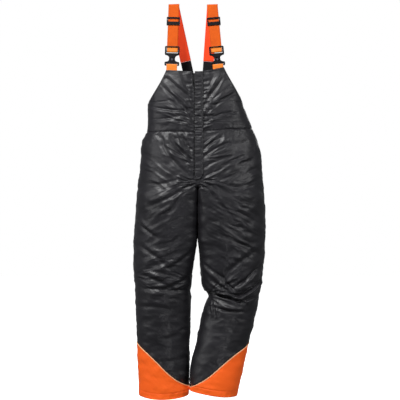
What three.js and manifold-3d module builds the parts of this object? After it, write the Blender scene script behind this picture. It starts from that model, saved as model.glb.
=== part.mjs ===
// Padded bib-and-brace trousers for chainsaw work, hung by their braces over a hanger bar.
// Millimetres, +Z up, wearer facing -Y. "right" and "left" are the wearer's: right is -X, left is +X.
// The origin is on the hanger bar's axis, midway between the two braces.
import * as THREE from "three";
import { mergeVertices } from "three/addons/utils/BufferGeometryUtils.js";
import Module from "manifold-3d";

const wasm = await Module();
wasm.setup();

// ---- Driving dimensions ------------------------------------------------------------------
// Heights, measured down from the hanger bar's axis and then from the one before.
const BRACE_DROP = 246; // bar to the top edge of the bib at its centre
const BIB_HEIGHT = 222; // bib top to the waist seam
const RISE = 237; // waist seam to the crotch point
const INSIDE_LEG = 732; // crotch point to the hem
const ARMHOLE_DROP = 115; // bib top to where front and back join at the sides
const BACK_BIB_DROP = 52; // bib top to the top of the back bib
const FLY_ABOVE_CROTCH = 62; // end of the zip above the crotch point
const KNEE_DROP = 360; // crotch to knee
const CUFF_OUTER = 193; // height of the contrast cuff at the outside seam
const CUFF_SWEEP = 163; // how much lower its slanting seam ends at the inside seam
const CUFF_CURVE = 0.78; // exponent of the slanting seam

// Fabric layers.
const SHELL = 2.5; // outer fabric with its facing
const LINING = 1.2;
const PAD = 7.4; // cut-protection pad
const LAYER_GAP = 0.4; // between layers
const SEAM_GAP = 0.6; // between two panels that are sewn together
const WELT = 1.3; // radius of the piping on the cuff seam

// Front opening.
const ZIP_HALF_GAP = 6.2; // centre line to the edge of each front panel, over the zip
const TAPE_HALF = 15;
const TAPE = 0.8;
const TOOTH_PITCH = 10;
const TOOTH_REACH = 3.4;
const TOOTH_THICK = 2.4;
const TOOTH_CLEAR = 1.4; // centre line to the tips of the teeth
const ZIP_BEHIND = 1; // zip plane behind the shell's inner face
const FLAP_WIDTH = 31;
const FLAP_HINGE_X = 21;
const FLAP_THICK = 2;
const PULL_LENGTH = 26;

// Braces.
const WEBBING = 40; // webbing width
const WEBBING_THICK = 2;
const BAR_RADIUS = 11; // hanger bar with its clearance
const RUN_CLEAR = 0.4; // webbing to the plastic that it runs through
const WEBBING_CLEAR = 1; // beside the webbing, in each buckle and adjuster
const FITTING_RIM = 6; // the buckle's plastic beside the webbing
const FITTING_HALF = WEBBING / 2 + WEBBING_CLEAR + FITTING_RIM;
const FITTING_CORNER = 4;
const ADJUSTER_RIM = 3.6;
const ADJUSTER_CORNER = 2.6;
const FITTING_HALF_DEPTH = 5;
const NECK_HALF = 11; // half width of the buckle at its neck
const SOCKET_HALF = 7.4;
const TONGUE_CLEAR = 0.4;
const BUTTON_TRAVEL = 2;
const ELASTIC_THICK = 2.6;
const ELASTIC_TOP = 197; // hanger bar down to the end of the rear webbing

const Z_BIB = -BRACE_DROP;
const Z_WAIST = Z_BIB - BIB_HEIGHT;
const Z_CROTCH = Z_WAIST - RISE;
const Z_HEM = Z_CROTCH - INSIDE_LEG;
const Z_ARMHOLE = Z_BIB - ARMHOLE_DROP;
const Z_BACK_TOP = Z_BIB - BACK_BIB_DROP;
const Z_FLY = Z_CROTCH + FLY_ABOVE_CROTCH;
const Z_KNEE = Z_CROTCH - KNEE_DROP;
const Z_HIP = Z_WAIST - 50;
const Z_THIGH = Z_CROTCH - 178;
const Z_CALF = Z_KNEE + 0.4785 * (Z_HEM - Z_KNEE);

// The front centre line is straight from the bib's top to the fly, so that the zip can slide.
const FRONT_TOP_Y = -84;
const FRONT_FLY_Y = -121;

const RIGHT = -1;
const LEFT = 1;
const FRONT = -1;
const BACK = 1;

// ---- Colours -----------------------------------------------------------------------------
const black = new THREE.MeshStandardMaterial({ color: 0x2b2a2e, roughness: 0.5, metalness: 0 });
const dark = new THREE.MeshStandardMaterial({ color: 0x151418, roughness: 0.8, metalness: 0 });
const orange = new THREE.MeshStandardMaterial({ color: 0xe8692c, roughness: 0.7, metalness: 0 });
const pale = new THREE.MeshStandardMaterial({ color: 0xf0b48c, roughness: 0.6, metalness: 0 });
const padding = new THREE.MeshStandardMaterial({ color: 0xd8d4c4, roughness: 0.95, metalness: 0 });
const plastic = new THREE.MeshStandardMaterial({ color: 0x141315, roughness: 0.4, metalness: 0 });
const metal = new THREE.MeshStandardMaterial({ color: 0x6e6e72, roughness: 0.35, metalness: 1 });

const garment = new THREE.Group();

function add(name, geometry, material, parent = garment) {
  const mesh = new THREE.Mesh(geometry, material);
  mesh.name = name;
  parent.add(mesh);
  return mesh;
}

// ---- Small helpers -----------------------------------------------------------------------
const lerp = THREE.MathUtils.lerp;
const smooth = THREE.MathUtils.smoothstep;

// A smooth value along the height, through [z, value] knots listed from the top down.
function profile(knots) {
  const slope = (k) => {
    const a = knots[Math.max(0, k - 1)];
    const b = knots[Math.min(knots.length - 1, k + 1)];
    return (b[1] - a[1]) / (b[0] - a[0]);
  };
  return (z) => {
    if (z >= knots[0][0]) return knots[0][1];
    if (z <= knots[knots.length - 1][0]) return knots[knots.length - 1][1];
    const k = knots.findIndex((knot) => z > knot[0]) - 1;
    const [z0, v0] = knots[k];
    const [z1, v1] = knots[k + 1];
    const h = z1 - z0;
    const t = (z - z0) / h;
    const keep = (1 + 2 * t) * (1 - t) ** 2;
    const rise = t * (1 - t) ** 2 * h * slope(k) - t ** 2 * (1 - t) * h * slope(k + 1);
    return v0 * keep + v1 * (1 - keep) + rise;
  };
}

// Turns a closed mesh round if its faces point inwards.
function facingOut(geometry) {
  const p = geometry.attributes.position;
  const index = Array.from(geometry.index.array);
  const [a, b, c] = [0, 1, 2].map(() => new THREE.Vector3());
  let volume = 0;
  for (let k = 0; k < index.length; k += 3) {
    a.fromBufferAttribute(p, index[k]);
    b.fromBufferAttribute(p, index[k + 1]);
    c.fromBufferAttribute(p, index[k + 2]);
    volume += a.dot(b.cross(c));
  }
  if (volume < 0) index.reverse();
  geometry.setIndex(index);
  return geometry;
}

// Rows of points as one closed solid: rows[j][i] is a ring (closed in i), capped at both ends.
function tubeSolid(rows) {
  const count = rows[0].length;
  const positions = rows.flat().flatMap((p) => [p.x, p.y, p.z]);
  const index = [];
  for (let j = 0; j + 1 < rows.length; j++) {
    for (let i = 0; i < count; i++) {
      const a = j * count + i;
      const b = j * count + ((i + 1) % count);
      index.push(a, b, a + count, b, b + count, a + count);
    }
  }
  const last = (rows.length - 1) * count;
  for (let i = 1; i + 1 < count; i++) {
    index.push(0, i + 1, i, last, last + i, last + i + 1);
  }
  const geometry = new THREE.BufferGeometry();
  geometry.setAttribute("position", new THREE.Float32BufferAttribute(positions, 3));
  geometry.setIndex(index);
  return facingOut(geometry);
}

// A closed loop of rings, such as piping or a cuff: both directions close on themselves.
function loopSolid(rings) {
  const count = rings[0].length;
  const total = rings.length * count;
  const positions = rings.flat().flatMap((p) => [p.x, p.y, p.z]);
  const index = [];
  for (let j = 0; j < rings.length; j++) {
    for (let i = 0; i < count; i++) {
      const a = j * count + i;
      const b = j * count + ((i + 1) % count);
      index.push(a, b, (a + count) % total, b, (b + count) % total, (a + count) % total);
    }
  }
  const geometry = new THREE.BufferGeometry();
  geometry.setAttribute("position", new THREE.Float32BufferAttribute(positions, 3));
  geometry.setIndex(index);
  return facingOut(geometry);
}

// A sheet with thickness: outer(i, j) and inner(i, j) give its two faces, split along the same diagonals.
function sheetSolid(iFrom, iTo, jFrom, jTo, outer, inner) {
  const width = iTo - iFrom + 1;
  const height = jTo - jFrom + 1;
  const positions = [];
  for (const face of [outer, inner]) {
    for (let j = jFrom; j <= jTo; j++) {
      for (let i = iFrom; i <= iTo; i++) positions.push(...face(i, j).toArray());
    }
  }
  const at = (face, i, j) => (face * height + j) * width + i;
  const index = [];
  const quad = (a, b, c, d) => index.push(a, b, c, a, c, d);
  for (let j = 0; j + 1 < height; j++) {
    for (let i = 0; i + 1 < width; i++) {
      const corners = (face) => [at(face, i, j), at(face, i + 1, j), at(face, i + 1, j + 1), at(face, i, j + 1)];
      quad(...corners(0));
      const [a, b, c, d] = corners(1);
      index.push(a, c, b, a, d, c);
    }
  }
  for (let i = 0; i + 1 < width; i++) {
    quad(at(1, i, 0), at(1, i + 1, 0), at(0, i + 1, 0), at(0, i, 0));
    quad(at(0, i, height - 1), at(0, i + 1, height - 1), at(1, i + 1, height - 1), at(1, i, height - 1));
  }
  for (let j = 0; j + 1 < height; j++) {
    quad(at(0, 0, j), at(0, 0, j + 1), at(1, 0, j + 1), at(1, 0, j));
    quad(at(1, width - 1, j), at(1, width - 1, j + 1), at(0, width - 1, j + 1), at(0, width - 1, j));
  }
  const geometry = new THREE.BufferGeometry();
  geometry.setAttribute("position", new THREE.Float32BufferAttribute(positions, 3));
  geometry.setIndex(index);
  return facingOut(geometry);
}

function toSolid(geometry) {
  const bare = geometry.clone();
  bare.deleteAttribute("normal");
  bare.deleteAttribute("uv");
  const merged = mergeVertices(bare, 1e-4);
  return new wasm.Manifold(
    new wasm.Mesh({
      numProp: 3,
      vertProperties: merged.attributes.position.array,
      triVerts: new Uint32Array(merged.index.array),
    }),
  );
}

function toGeometry(solid) {
  const mesh = solid.getMesh();
  const geometry = new THREE.BufferGeometry();
  geometry.setAttribute("position", new THREE.BufferAttribute(mesh.vertProperties, 3));
  geometry.setIndex(new THREE.BufferAttribute(mesh.triVerts, 1));
  return geometry;
}

function boxSolid(x0, x1, y0, y1, z0, z1) {
  const geometry = new THREE.BoxGeometry(x1 - x0, y1 - y0, z1 - z0);
  geometry.translate((x0 + x1) / 2, (y0 + y1) / 2, (z0 + z1) / 2);
  return toSolid(geometry);
}

// A round bar along X.
function barSolid(halfLength, y, z, radius) {
  const geometry = new THREE.CylinderGeometry(radius, radius, 2 * halfLength, 12);
  geometry.rotateZ(Math.PI / 2);
  geometry.translate(0, y, z);
  return toSolid(geometry);
}

// An outline in X and Z, extruded along Y from y0 to y1.
function plateSolid(shape, y0, y1, curveSegments = 12) {
  const geometry = new THREE.ExtrudeGeometry(shape, { depth: y1 - y0, bevelEnabled: false, curveSegments });
  geometry.rotateX(Math.PI / 2);
  geometry.translate(0, y1, 0);
  return toSolid(geometry);
}

// ---- The body of the garment -------------------------------------------------------------
// Half width of the trunk and outside of each leg, from the centre plane.
const outside = {
  [RIGHT]: profile([
    [Z_BIB, 148],
    [Z_ARMHOLE, 182],
    [Z_WAIST + 16, 187],
    [Z_HIP, 209],
    [Z_CROTCH, 224],
    [Z_THIGH, 239],
    [Z_KNEE, 235],
    [Z_CALF, 228],
    [Z_HEM, 220],
  ]),
  [LEFT]: profile([
    [Z_BIB, 134],
    [Z_ARMHOLE, 163],
    [Z_WAIST + 16, 201],
    [Z_HIP, 224],
    [Z_CROTCH, 247],
    [Z_THIGH, 248],
    [Z_KNEE, 230],
    [Z_CALF, 193],
    [Z_HEM, 146],
  ]),
};

// Inside of each leg. The left knee is bent, so its shin slants in below a deep crease.
const inside = {
  [RIGHT]: profile([
    [Z_CROTCH, 1.2],
    [Z_CROTCH - 150, 2],
    [Z_THIGH - 22, 9],
    [Z_KNEE + 77, 19],
    [Z_KNEE + 16, 26],
    [Z_KNEE - 40, 24],
    [Z_CALF, 28],
    [Z_HEM, 31],
  ]),
  [LEFT]: profile([
    [Z_CROTCH, 1.2],
    [Z_CROTCH - 150, 2],
    [Z_THIGH - 22, 8],
    [Z_KNEE + 77, 14],
    [Z_KNEE + 32, 16],
    [Z_KNEE - 6, 42],
    [Z_KNEE - 34, 29],
    [Z_KNEE - 78, 17],
    [Z_CALF, -7],
    [lerp(Z_CALF, Z_HEM, 0.4), -26],
    [Z_HEM, -34],
  ]),
};

const frontY = profile([
  [Z_CROTCH, -119],
  [Z_THIGH, -101],
  [Z_KNEE, -89],
  [Z_CALF, -75],
  [Z_HEM, -71],
]);
const backY = profile([
  [Z_BACK_TOP, 60],
  [Z_ARMHOLE, 78],
  [Z_WAIST, 99],
  [Z_HIP - 50, 119],
  [Z_CROTCH + 55, 128],
  [Z_CROTCH, 125],
  [Z_THIGH, 101],
  [Z_KNEE, 81],
  [Z_CALF, 82],
  [Z_HEM, 72],
]);
const squareness = profile([
  [Z_BIB, 4],
  [Z_WAIST, 2.7],
  [Z_CROTCH, 2.3],
]);
const LEG_SQUARENESS = 2.2;
const LEFT_SHIN_FORWARD = 30; // the left shin stands this far in front of the right one
const RIGHT_SHIN_BACK = 6;

// Straight centre front line from the bib top to the fly, in Y at height z.
function centreFront(z) {
  return lerp(FRONT_TOP_Y, FRONT_FLY_Y, (Z_BIB - z) / (Z_BIB - Z_FLY));
}

function sideSeamY(side, z) {
  const share = smooth(Z_KNEE + 60 - z, 0, Z_KNEE + 60 - Z_HEM);
  return side === LEFT ? -LEFT_SHIN_FORWARD * share : RIGHT_SHIN_BACK * share;
}

// The front half depth follows the straight line down to the fly, and then the leg's own profile.
function halfDepth(side, face, z) {
  if (face === BACK) return backY(z);
  const toLeg = smooth(Z_FLY - z, 0, Z_FLY - Z_CROTCH);
  return -lerp(centreFront(Math.max(z, Z_FLY)), frontY(z), toLeg);
}

// Half widths of the bib's front and back at their top edges.
const BIB_TOP_HALF = { [RIGHT]: 117, [LEFT]: 104 };
const BACK_TOP_HALF = 82;

function reach(phi, a, b, n) {
  const s = Math.abs(Math.cos(phi) / a) ** n + Math.abs(Math.sin(phi) / b) ** n;
  return s ** (-1 / n);
}

// Angle on the trunk's section where the free edge of the bib runs: the armhole's curve ends at the side seam.
function armholeAngle(side, face, z) {
  if (z <= Z_ARMHOLE) return 0;
  const top = face === FRONT ? Z_BIB : Z_BACK_TOP;
  const topHalf = face === FRONT ? BIB_TOP_HALF[side] : BACK_TOP_HALF;
  const [a, b, n] = [outside[side](top), halfDepth(side, face, top), squareness(top)];
  const topAngle = Math.atan2(b * (1 - (topHalf / a) ** n) ** (1 / n), topHalf);
  return topAngle * ((z - Z_ARMHOLE) / (top - Z_ARMHOLE)) ** (face === FRONT ? 0.5 : 0.7);
}

// A point of a half's section, before it is set in: u is 0 at the centre seam or inseam, 1 at the side.
function sectionPoint(side, face, z, u) {
  const a = outside[side](z);
  const b = halfDepth(side, face, z);
  const phi = lerp(Math.PI / 2, armholeAngle(side, face, z), u);
  const r = reach(phi, a, b, squareness(z));
  const trunk = [r * Math.cos(phi), r * Math.sin(phi)];
  const w = smooth(Z_FLY - 6 - z, 0, Z_FLY - 6 - Z_CROTCH);
  if (w === 0) return trunk;
  const inner = inside[side](z);
  const half = (a - inner) / 2;
  const turn = Math.PI * (1 - u);
  const legReach = reach(turn, half, b, LEG_SQUARENESS);
  const leg = [inner + half + legReach * Math.cos(turn), legReach * Math.sin(turn)];
  return [lerp(trunk[0], leg[0], w), lerp(trunk[1], leg[1], w)];
}

// How far the front panels keep from the centre plane: the zip's gap, then just the seam.
function centreClear(z) {
  return lerp(ZIP_HALF_GAP, SEAM_GAP / 2, smooth(Z_FLY + 8 - z, 0, 14));
}

// A point of the garment, set in from its outer face by `inset`.
function skin(side, face, z, u, inset = 0) {
  const step = 0.004;
  const p = sectionPoint(side, face, z, u);
  const p0 = sectionPoint(side, face, z, Math.max(0, u - step));
  const p1 = sectionPoint(side, face, z, Math.min(1, u + step));
  const [tx, ty] = [p1[0] - p0[0], p1[1] - p0[1]];
  const length = Math.hypot(tx, ty);
  // The section runs from the centre to the side, so its outward normal is the tangent turned by +90 degrees.
  const [nx, ny] = [-ty / length, tx / length];
  const x = Math.max(p[0] - nx * inset, innerLimit(face, z));
  const y = Math.max(p[1] - ny * inset, SEAM_GAP / 2);
  return new THREE.Vector3(side * x, sideSeamY(side, z) + face * y, z);
}

// How near the centre plane a point may come. A leg has its own inside, which may cross that plane.
function innerLimit(face, z) {
  if (z < Z_CROTCH) return -Infinity;
  return face === FRONT ? centreClear(z) : SEAM_GAP / 2;
}

// ---- The panel grid ----------------------------------------------------------------------
// Every layer is cut from one grid of columns and rows, so that the layers nest.
const COLUMNS = 9;
const BIB_ROWS = 7;
const armholeShares = [0, 0.35, 0.65, 0.88, 1];
const ROW_ARMHOLE = armholeShares.length - 1;
const LEG_ROWS = 19;
const CUFF_ROWS = 2;
const ROW_WAIST = BIB_ROWS;
const ROW_CUFF = ROW_WAIST + LEG_ROWS;
const ROW_HEM = ROW_CUFF + CUFF_ROWS;
const BIB_TOP_RISE = { [RIGHT]: 5, [LEFT]: 16 }; // how much higher the bib's corners are than its centre
const WAIST_RISE = { [RIGHT]: 4, [LEFT]: 14 };
const HEM_DIP = 9; // the front of the hem hangs lower than its sides
const HEM_INNER_RISE = { [RIGHT]: 0, [LEFT]: 14 };

// Rows of the legs as distances below the waist seam at the inseam, closer together round the crotch and
// the knee's crease, then as shares of the way down to the cuff.
const legDrops = [0, 45, 110];
for (const above of [68, 54, 37, 19, 4, -9, -63, -150]) legDrops.push(RISE - above);
for (const aboveKnee of [122, 38, 12, -6, -26, -62, -124, -212]) legDrops.push(RISE + KNEE_DROP - aboveKnee);
legDrops.push(Z_WAIST - (Z_HEM + CUFF_OUTER - CUFF_SWEEP));
const legShares = legDrops.map((drop) => drop / legDrops[LEG_ROWS]);

function rowZ(side, face, u, j) {
  const waist = Z_WAIST + WAIST_RISE[side] * u;
  if (j <= ROW_ARMHOLE) {
    const top = face === FRONT ? Z_BIB + BIB_TOP_RISE[side] * u ** 2 : Z_BACK_TOP;
    return lerp(top, Z_ARMHOLE, armholeShares[j]);
  }
  if (j <= ROW_WAIST) return lerp(Z_ARMHOLE, waist, (j - ROW_ARMHOLE) / (ROW_WAIST - ROW_ARMHOLE));
  const across = (1 - Math.cos(Math.PI * (1 - u))) / 2;
  const cuff = Z_HEM + CUFF_OUTER - CUFF_SWEEP * across ** CUFF_CURVE;
  if (j <= ROW_CUFF) return lerp(waist, cuff, legShares[j - ROW_WAIST]);
  const dip = HEM_DIP * Math.sin(Math.PI * u) * (face === FRONT ? 1 : -0.4);
  const hem = Z_HEM - dip + HEM_INNER_RISE[side] * across;
  return lerp(cuff, hem, (j - ROW_CUFF) / CUFF_ROWS);
}

function gridPoint(side, face, i, j, inset, nudge = 0) {
  const u = i / COLUMNS;
  return skin(side, face, rowZ(side, face, u, j) + nudge, u, inset);
}

// A panel between two insets, over a range of columns and rows. `ends` trims its first and last rows.
function panel(side, face, columns, rows, outerInset, innerInset, ends = [-SEAM_GAP / 2, SEAM_GAP / 2]) {
  const at = (inset) => (i, j) => {
    const nudge = j === rows[0] ? ends[0] : j === rows[1] ? ends[1] : 0;
    return gridPoint(side, face, i, j, inset(i, j), nudge);
  };
  return sheetSolid(columns[0], columns[1], rows[0], rows[1], at(outerInset), at(innerInset));
}

const constant = (value) => () => value;
const ALL = [0, COLUMNS];

for (const [name, side] of [["right", RIGHT], ["left", LEFT]]) {
  const shell = [constant(0), constant(SHELL)];
  add(`bib_front_${name}`, panel(side, FRONT, ALL, [0, ROW_WAIST], ...shell), black);
  add(`leg_front_${name}`, panel(side, FRONT, ALL, [ROW_WAIST, ROW_CUFF], ...shell), black);
  add(`leg_back_${name}`, panel(side, BACK, ALL, [ROW_WAIST, ROW_CUFF], ...shell), black);
}

// The back bib is one piece across both halves.
function backBib(inset, thickness, columns, rows, nudge = [-SEAM_GAP / 2, SEAM_GAP / 2]) {
  const at = (depth) => (i, j) => {
    const side = i < 0 ? RIGHT : LEFT;
    const trim = j === rows[0] ? nudge[0] : j === rows[1] ? nudge[1] : 0;
    const p = gridPoint(side, BACK, Math.abs(i), j, depth, trim);
    if (i === 0) p.x = 0;
    return p;
  };
  return sheetSolid(-columns, columns, rows[0], rows[1], at(inset), at(inset + thickness));
}
add("bib_back", backBib(0, SHELL, COLUMNS, [0, ROW_WAIST]), black);

// Elastic band round the back of the waist, sewn on the outside just above the seam.
const WAISTBAND_THICK = 2;
const WAISTBAND_CLEAR = 0.9;
add(
  "waistband_elastic",
  backBib(-WAISTBAND_CLEAR - WAISTBAND_THICK, WAISTBAND_THICK, COLUMNS - 2, [ROW_WAIST - 2, ROW_WAIST], [-8, 6]),
  dark,
);

// ---- Cuffs and their piping --------------------------------------------------------------
// Grid position k round the leg: front from inseam to side seam, then back from side seam to inseam.
function roundLeg(side, k, j, inset, nudge) {
  if (k <= COLUMNS) return gridPoint(side, FRONT, k, j, inset, nudge);
  return gridPoint(side, BACK, 2 * COLUMNS - k, j, inset, nudge);
}

// At the side seam and the inseam front and back share one point of the ring.
function cuffPoint(side, k, j, inset, nudge = 0) {
  const p = roundLeg(side, k, j, inset, nudge);
  if (k === 0 || k === COLUMNS) p.y = sideSeamY(side, p.z);
  return p;
}

function cuff(side) {
  const rings = [];
  for (let k = 0; k < 2 * COLUMNS; k++) {
    const ring = [];
    for (let j = ROW_CUFF; j <= ROW_HEM; j++) {
      ring.push(cuffPoint(side, k, j, 0, j === ROW_CUFF ? -SEAM_GAP / 2 : 0));
    }
    for (let j = ROW_HEM; j >= ROW_CUFF; j--) {
      ring.push(cuffPoint(side, k, j, SHELL, j === ROW_CUFF ? -SEAM_GAP / 2 : 0));
    }
    rings.push(ring);
  }
  return loopSolid(rings);
}

function piping(side) {
  const rings = [];
  const corners = 6;
  for (let k = 0; k < 2 * COLUMNS; k++) {
    const centre = cuffPoint(side, k, ROW_CUFF, -WELT - LAYER_GAP);
    const skinPoint = cuffPoint(side, k, ROW_CUFF, 0);
    const out = centre.clone().sub(skinPoint).setZ(0).normalize();
    const ring = [];
    for (let c = 0; c < corners; c++) {
      const angle = (2 * Math.PI * c) / corners;
      ring.push(
        centre
          .clone()
          .addScaledVector(out, WELT * Math.cos(angle))
          .add(new THREE.Vector3(0, 0, WELT * Math.sin(angle))),
      );
    }
    rings.push(ring);
  }
  return loopSolid(rings);
}

for (const [name, side] of [["right", RIGHT], ["left", LEFT]]) {
  add(`hem_cuff_${name}`, cuff(side), orange);
  add(`cuff_piping_${name}`, piping(side), pale);
}

// ---- Cut-protection pads and lining ------------------------------------------------------
const PAD_COLUMNS = [1, COLUMNS - 1];
const PAD_ROWS = [ROW_WAIST + 1, ROW_CUFF];
const BIB_LINING_INSET = SHELL + 6.5; // clears the zip's back
const THIN_INSET = SHELL + LAYER_GAP;
const CUFF_CLEAR = 1; // more room behind the cuff, whose facets run the other way

// The lining lies behind the pad on the front of the leg and straight behind the shell elsewhere.
function liningInset(i, j) {
  const overPad = i >= PAD_COLUMNS[0] && i <= PAD_COLUMNS[1] && j >= PAD_ROWS[0] && j <= PAD_ROWS[1] + 1;
  if (overPad) return padInner(i) + LAYER_GAP;
  if (j < PAD_ROWS[0]) return i === COLUMNS ? THIN_INSET : BIB_LINING_INSET;
  if (j < ROW_WAIST + 8 && i === 0) return BIB_LINING_INSET;
  return THIN_INSET + (j > ROW_CUFF ? CUFF_CLEAR : 0);
}

function padInner(i) {
  const edge = i === PAD_COLUMNS[0] || i === PAD_COLUMNS[1];
  return SHELL + LAYER_GAP + (edge ? PAD / 2 : PAD);
}

const LINING_ROWS = [1, ROW_HEM - 1];
for (const [name, side] of [["right", RIGHT], ["left", LEFT]]) {
  add(
    `cut_pad_${name}`,
    panel(side, FRONT, PAD_COLUMNS, PAD_ROWS, constant(SHELL + LAYER_GAP), padInner, [0, 0]),
    padding,
  );
  const frontInner = (i, j) => liningInset(i, j) + LINING;
  add(`lining_front_${name}`, panel(side, FRONT, ALL, LINING_ROWS, liningInset, frontInner, [0, 0]), dark);
  const backOuter = (i, j) => THIN_INSET + (j > ROW_CUFF ? CUFF_CLEAR : 0);
  const backInner = (i, j) => backOuter(i, j) + LINING;
  add(`lining_back_${name}`, panel(side, BACK, ALL, LINING_ROWS, backOuter, backInner, [0, 0]), dark);
}

// Patch pocket on the seat.
const POCKET_COLUMNS = [3, 7];
const POCKET_ROWS = [ROW_WAIST + 1, ROW_WAIST + 3];
const POCKET_CLEAR = 0.5;
add(
  "seat_pocket",
  panel(RIGHT, BACK, POCKET_COLUMNS, POCKET_ROWS, constant(-POCKET_CLEAR - 1.5), constant(-POCKET_CLEAR), [0, 0]),
  black,
);

// ---- Zip and storm flap ------------------------------------------------------------------
// A frame on the straight centre front: +Z up along the zip, +Y into the garment, origin at the zip's top.
const ZIP_TOP_MARGIN = 8;
const ZIP_BOTTOM_MARGIN = 16;
const zipTopZ = Z_BIB - ZIP_TOP_MARGIN;
const zipBottomZ = Z_FLY + ZIP_BOTTOM_MARGIN;
const slope = (FRONT_TOP_Y - FRONT_FLY_Y) / (Z_BIB - Z_FLY);
const zipUp = new THREE.Vector3(0, slope, 1).normalize();
const ZIP_LENGTH = (zipTopZ - zipBottomZ) / zipUp.z;
const zipFrame = new THREE.Group();
zipFrame.position.set(0, centreFront(zipTopZ), zipTopZ);
zipFrame.rotation.x = -Math.atan(slope);
garment.add(zipFrame);

// In this frame the shell's outer face is at Y 0, and the zip's own plane is behind its inner face.
const ZIP_Y = SHELL + ZIP_BEHIND + TAPE / 2;

// One side of the zip: tape with a comb of teeth along its inner edge.
function zipChain(side) {
  const shape = new THREE.Shape();
  const x = (distance) => side * distance;
  const root = TOOTH_CLEAR + TOOTH_REACH;
  shape.moveTo(x(root + 1.2), 0);
  shape.lineTo(x(root), 0);
  const teeth = Math.floor(ZIP_LENGTH / TOOTH_PITCH);
  for (let k = 0; k < teeth; k++) {
    const z = -k * TOOTH_PITCH - (side === LEFT ? TOOTH_PITCH / 2 : 0);
    shape.lineTo(x(root), z - 0.5);
    shape.lineTo(x(TOOTH_CLEAR), z - 0.9);
    shape.lineTo(x(TOOTH_CLEAR), z - TOOTH_PITCH / 2 - 0.3);
    shape.lineTo(x(root), z - TOOTH_PITCH / 2 + 0.1);
  }
  shape.lineTo(x(root), -ZIP_LENGTH);
  shape.lineTo(x(root + 1.2), -ZIP_LENGTH);
  const comb = plateSolid(shape, ZIP_Y - TOOTH_THICK / 2, ZIP_Y + TOOTH_THICK / 2);
  const [near, far] = [x(root + 0.6), x(TAPE_HALF)].sort((a, b) => a - b);
  const tape = boxSolid(near, far, ZIP_Y - TAPE / 2, ZIP_Y + TAPE / 2, -ZIP_LENGTH - 4, 2);
  return toGeometry(comb.add(tape));
}
add("zip_tape_right", zipChain(RIGHT), dark, zipFrame);
add("zip_tape_left", zipChain(LEFT), dark, zipFrame);

// Bottom stop, across both rows just under the last tooth.
const STOP_HALF = 4.4;
add(
  "zip_stop",
  toGeometry(boxSolid(-STOP_HALF, STOP_HALF, ZIP_Y - 1.4, ZIP_Y + 1.4, -ZIP_LENGTH - 4, -ZIP_LENGTH - 0.3)),
  metal,
  zipFrame,
);

// Slider: two plates and the web between the rows of teeth, with a bridge that holds the pull.
const SLIDER_HALF = 5.2;
const SLIDER_LENGTH = 15;
const PLATE = 1.1;
const PLATE_CLEAR = 0.35;
const PIN_CLEAR = 1.35; // the pull's crossbar turns in this radius
const BRIDGE = 0.75;
const PIN_Y = ZIP_Y - TOOTH_THICK / 2 - PLATE_CLEAR - PLATE - PIN_CLEAR;
const SLIDER_TOP = -1;
function zipSlider() {
  const frontOfTeeth = ZIP_Y - TOOTH_THICK / 2 - PLATE_CLEAR;
  const backOfTeeth = ZIP_Y + TOOTH_THICK / 2 + PLATE_CLEAR;
  const bottom = SLIDER_TOP - SLIDER_LENGTH;
  const front = boxSolid(-SLIDER_HALF, SLIDER_HALF, frontOfTeeth - PLATE, frontOfTeeth, bottom, SLIDER_TOP);
  const back = boxSolid(-SLIDER_HALF, SLIDER_HALF, backOfTeeth, backOfTeeth + PLATE, bottom, SLIDER_TOP);
  const web = boxSolid(-1, 1, frontOfTeeth - 0.2, backOfTeeth + 0.2, SLIDER_TOP - 6, SLIDER_TOP);
  const bridgeFront = PIN_Y - PIN_CLEAR - BRIDGE;
  const post = (from, to) => boxSolid(-1.1, 1.1, bridgeFront, frontOfTeeth - 0.5, from, to);
  const bridge = boxSolid(-1.1, 1.1, bridgeFront, bridgeFront + BRIDGE, SLIDER_TOP - 9, SLIDER_TOP - 2);
  return toGeometry(
    wasm.Manifold.union([
      front,
      back,
      web,
      post(SLIDER_TOP - 3.5, SLIDER_TOP - 2),
      post(SLIDER_TOP - 9, SLIDER_TOP - 7.5),
      bridge,
    ]),
  );
}
add("zip_slider", zipSlider(), metal, zipFrame);

// Pull tab: its eye goes round the slider's bridge, and it hangs down in front of the slider.
const PULL_HALF = 3.4;
const PULL_THICK = 1.1;
function zipPull() {
  const eyeTop = SLIDER_TOP - 4.1;
  const plate = boxSolid(
    -PULL_HALF,
    PULL_HALF,
    PIN_Y - PULL_THICK / 2,
    PIN_Y + PULL_THICK / 2,
    eyeTop - PULL_LENGTH,
    eyeTop,
  );
  const eye = boxSolid(-1.6, 1.6, PIN_Y - 2, PIN_Y + 2, SLIDER_TOP - 11, SLIDER_TOP - 6.3);
  const grip = boxSolid(-1.8, 1.8, PIN_Y - 2, PIN_Y + 2, eyeTop - PULL_LENGTH + 3, eyeTop - PULL_LENGTH + 10);
  return toGeometry(plate.subtract(eye).subtract(grip));
}
add("zip_pull", zipPull(), metal, zipFrame);

// Storm flap: a leaf over the zip, hinged in the fabric along the strip that is sewn down beside the zip.
const FLAP_LIFT = 2.4; // clear of the slider's bridge
const FLAP_STRIP = 5;
const FLAP_CORNER = 18;
const flapTop = ZIP_TOP_MARGIN / zipUp.z - 1;
const flapBottom = -ZIP_LENGTH - ZIP_BOTTOM_MARGIN;
const flapFront = -LAYER_GAP - FLAP_LIFT - FLAP_THICK;
const flapFold = FLAP_HINGE_X - FLAP_STRIP;
function stormFlap() {
  const shape = new THREE.Shape();
  const free = FLAP_HINGE_X - FLAP_WIDTH;
  const edge = flapFold - LAYER_GAP;
  shape.moveTo(free, flapTop);
  shape.lineTo(free, flapBottom);
  shape.lineTo(edge - FLAP_CORNER, flapBottom);
  shape.absarc(edge - FLAP_CORNER, flapBottom + FLAP_CORNER, FLAP_CORNER, -Math.PI / 2, 0, false);
  shape.lineTo(edge, flapTop);
  return toGeometry(plateSolid(shape, flapFront, flapFront + FLAP_THICK));
}
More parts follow.
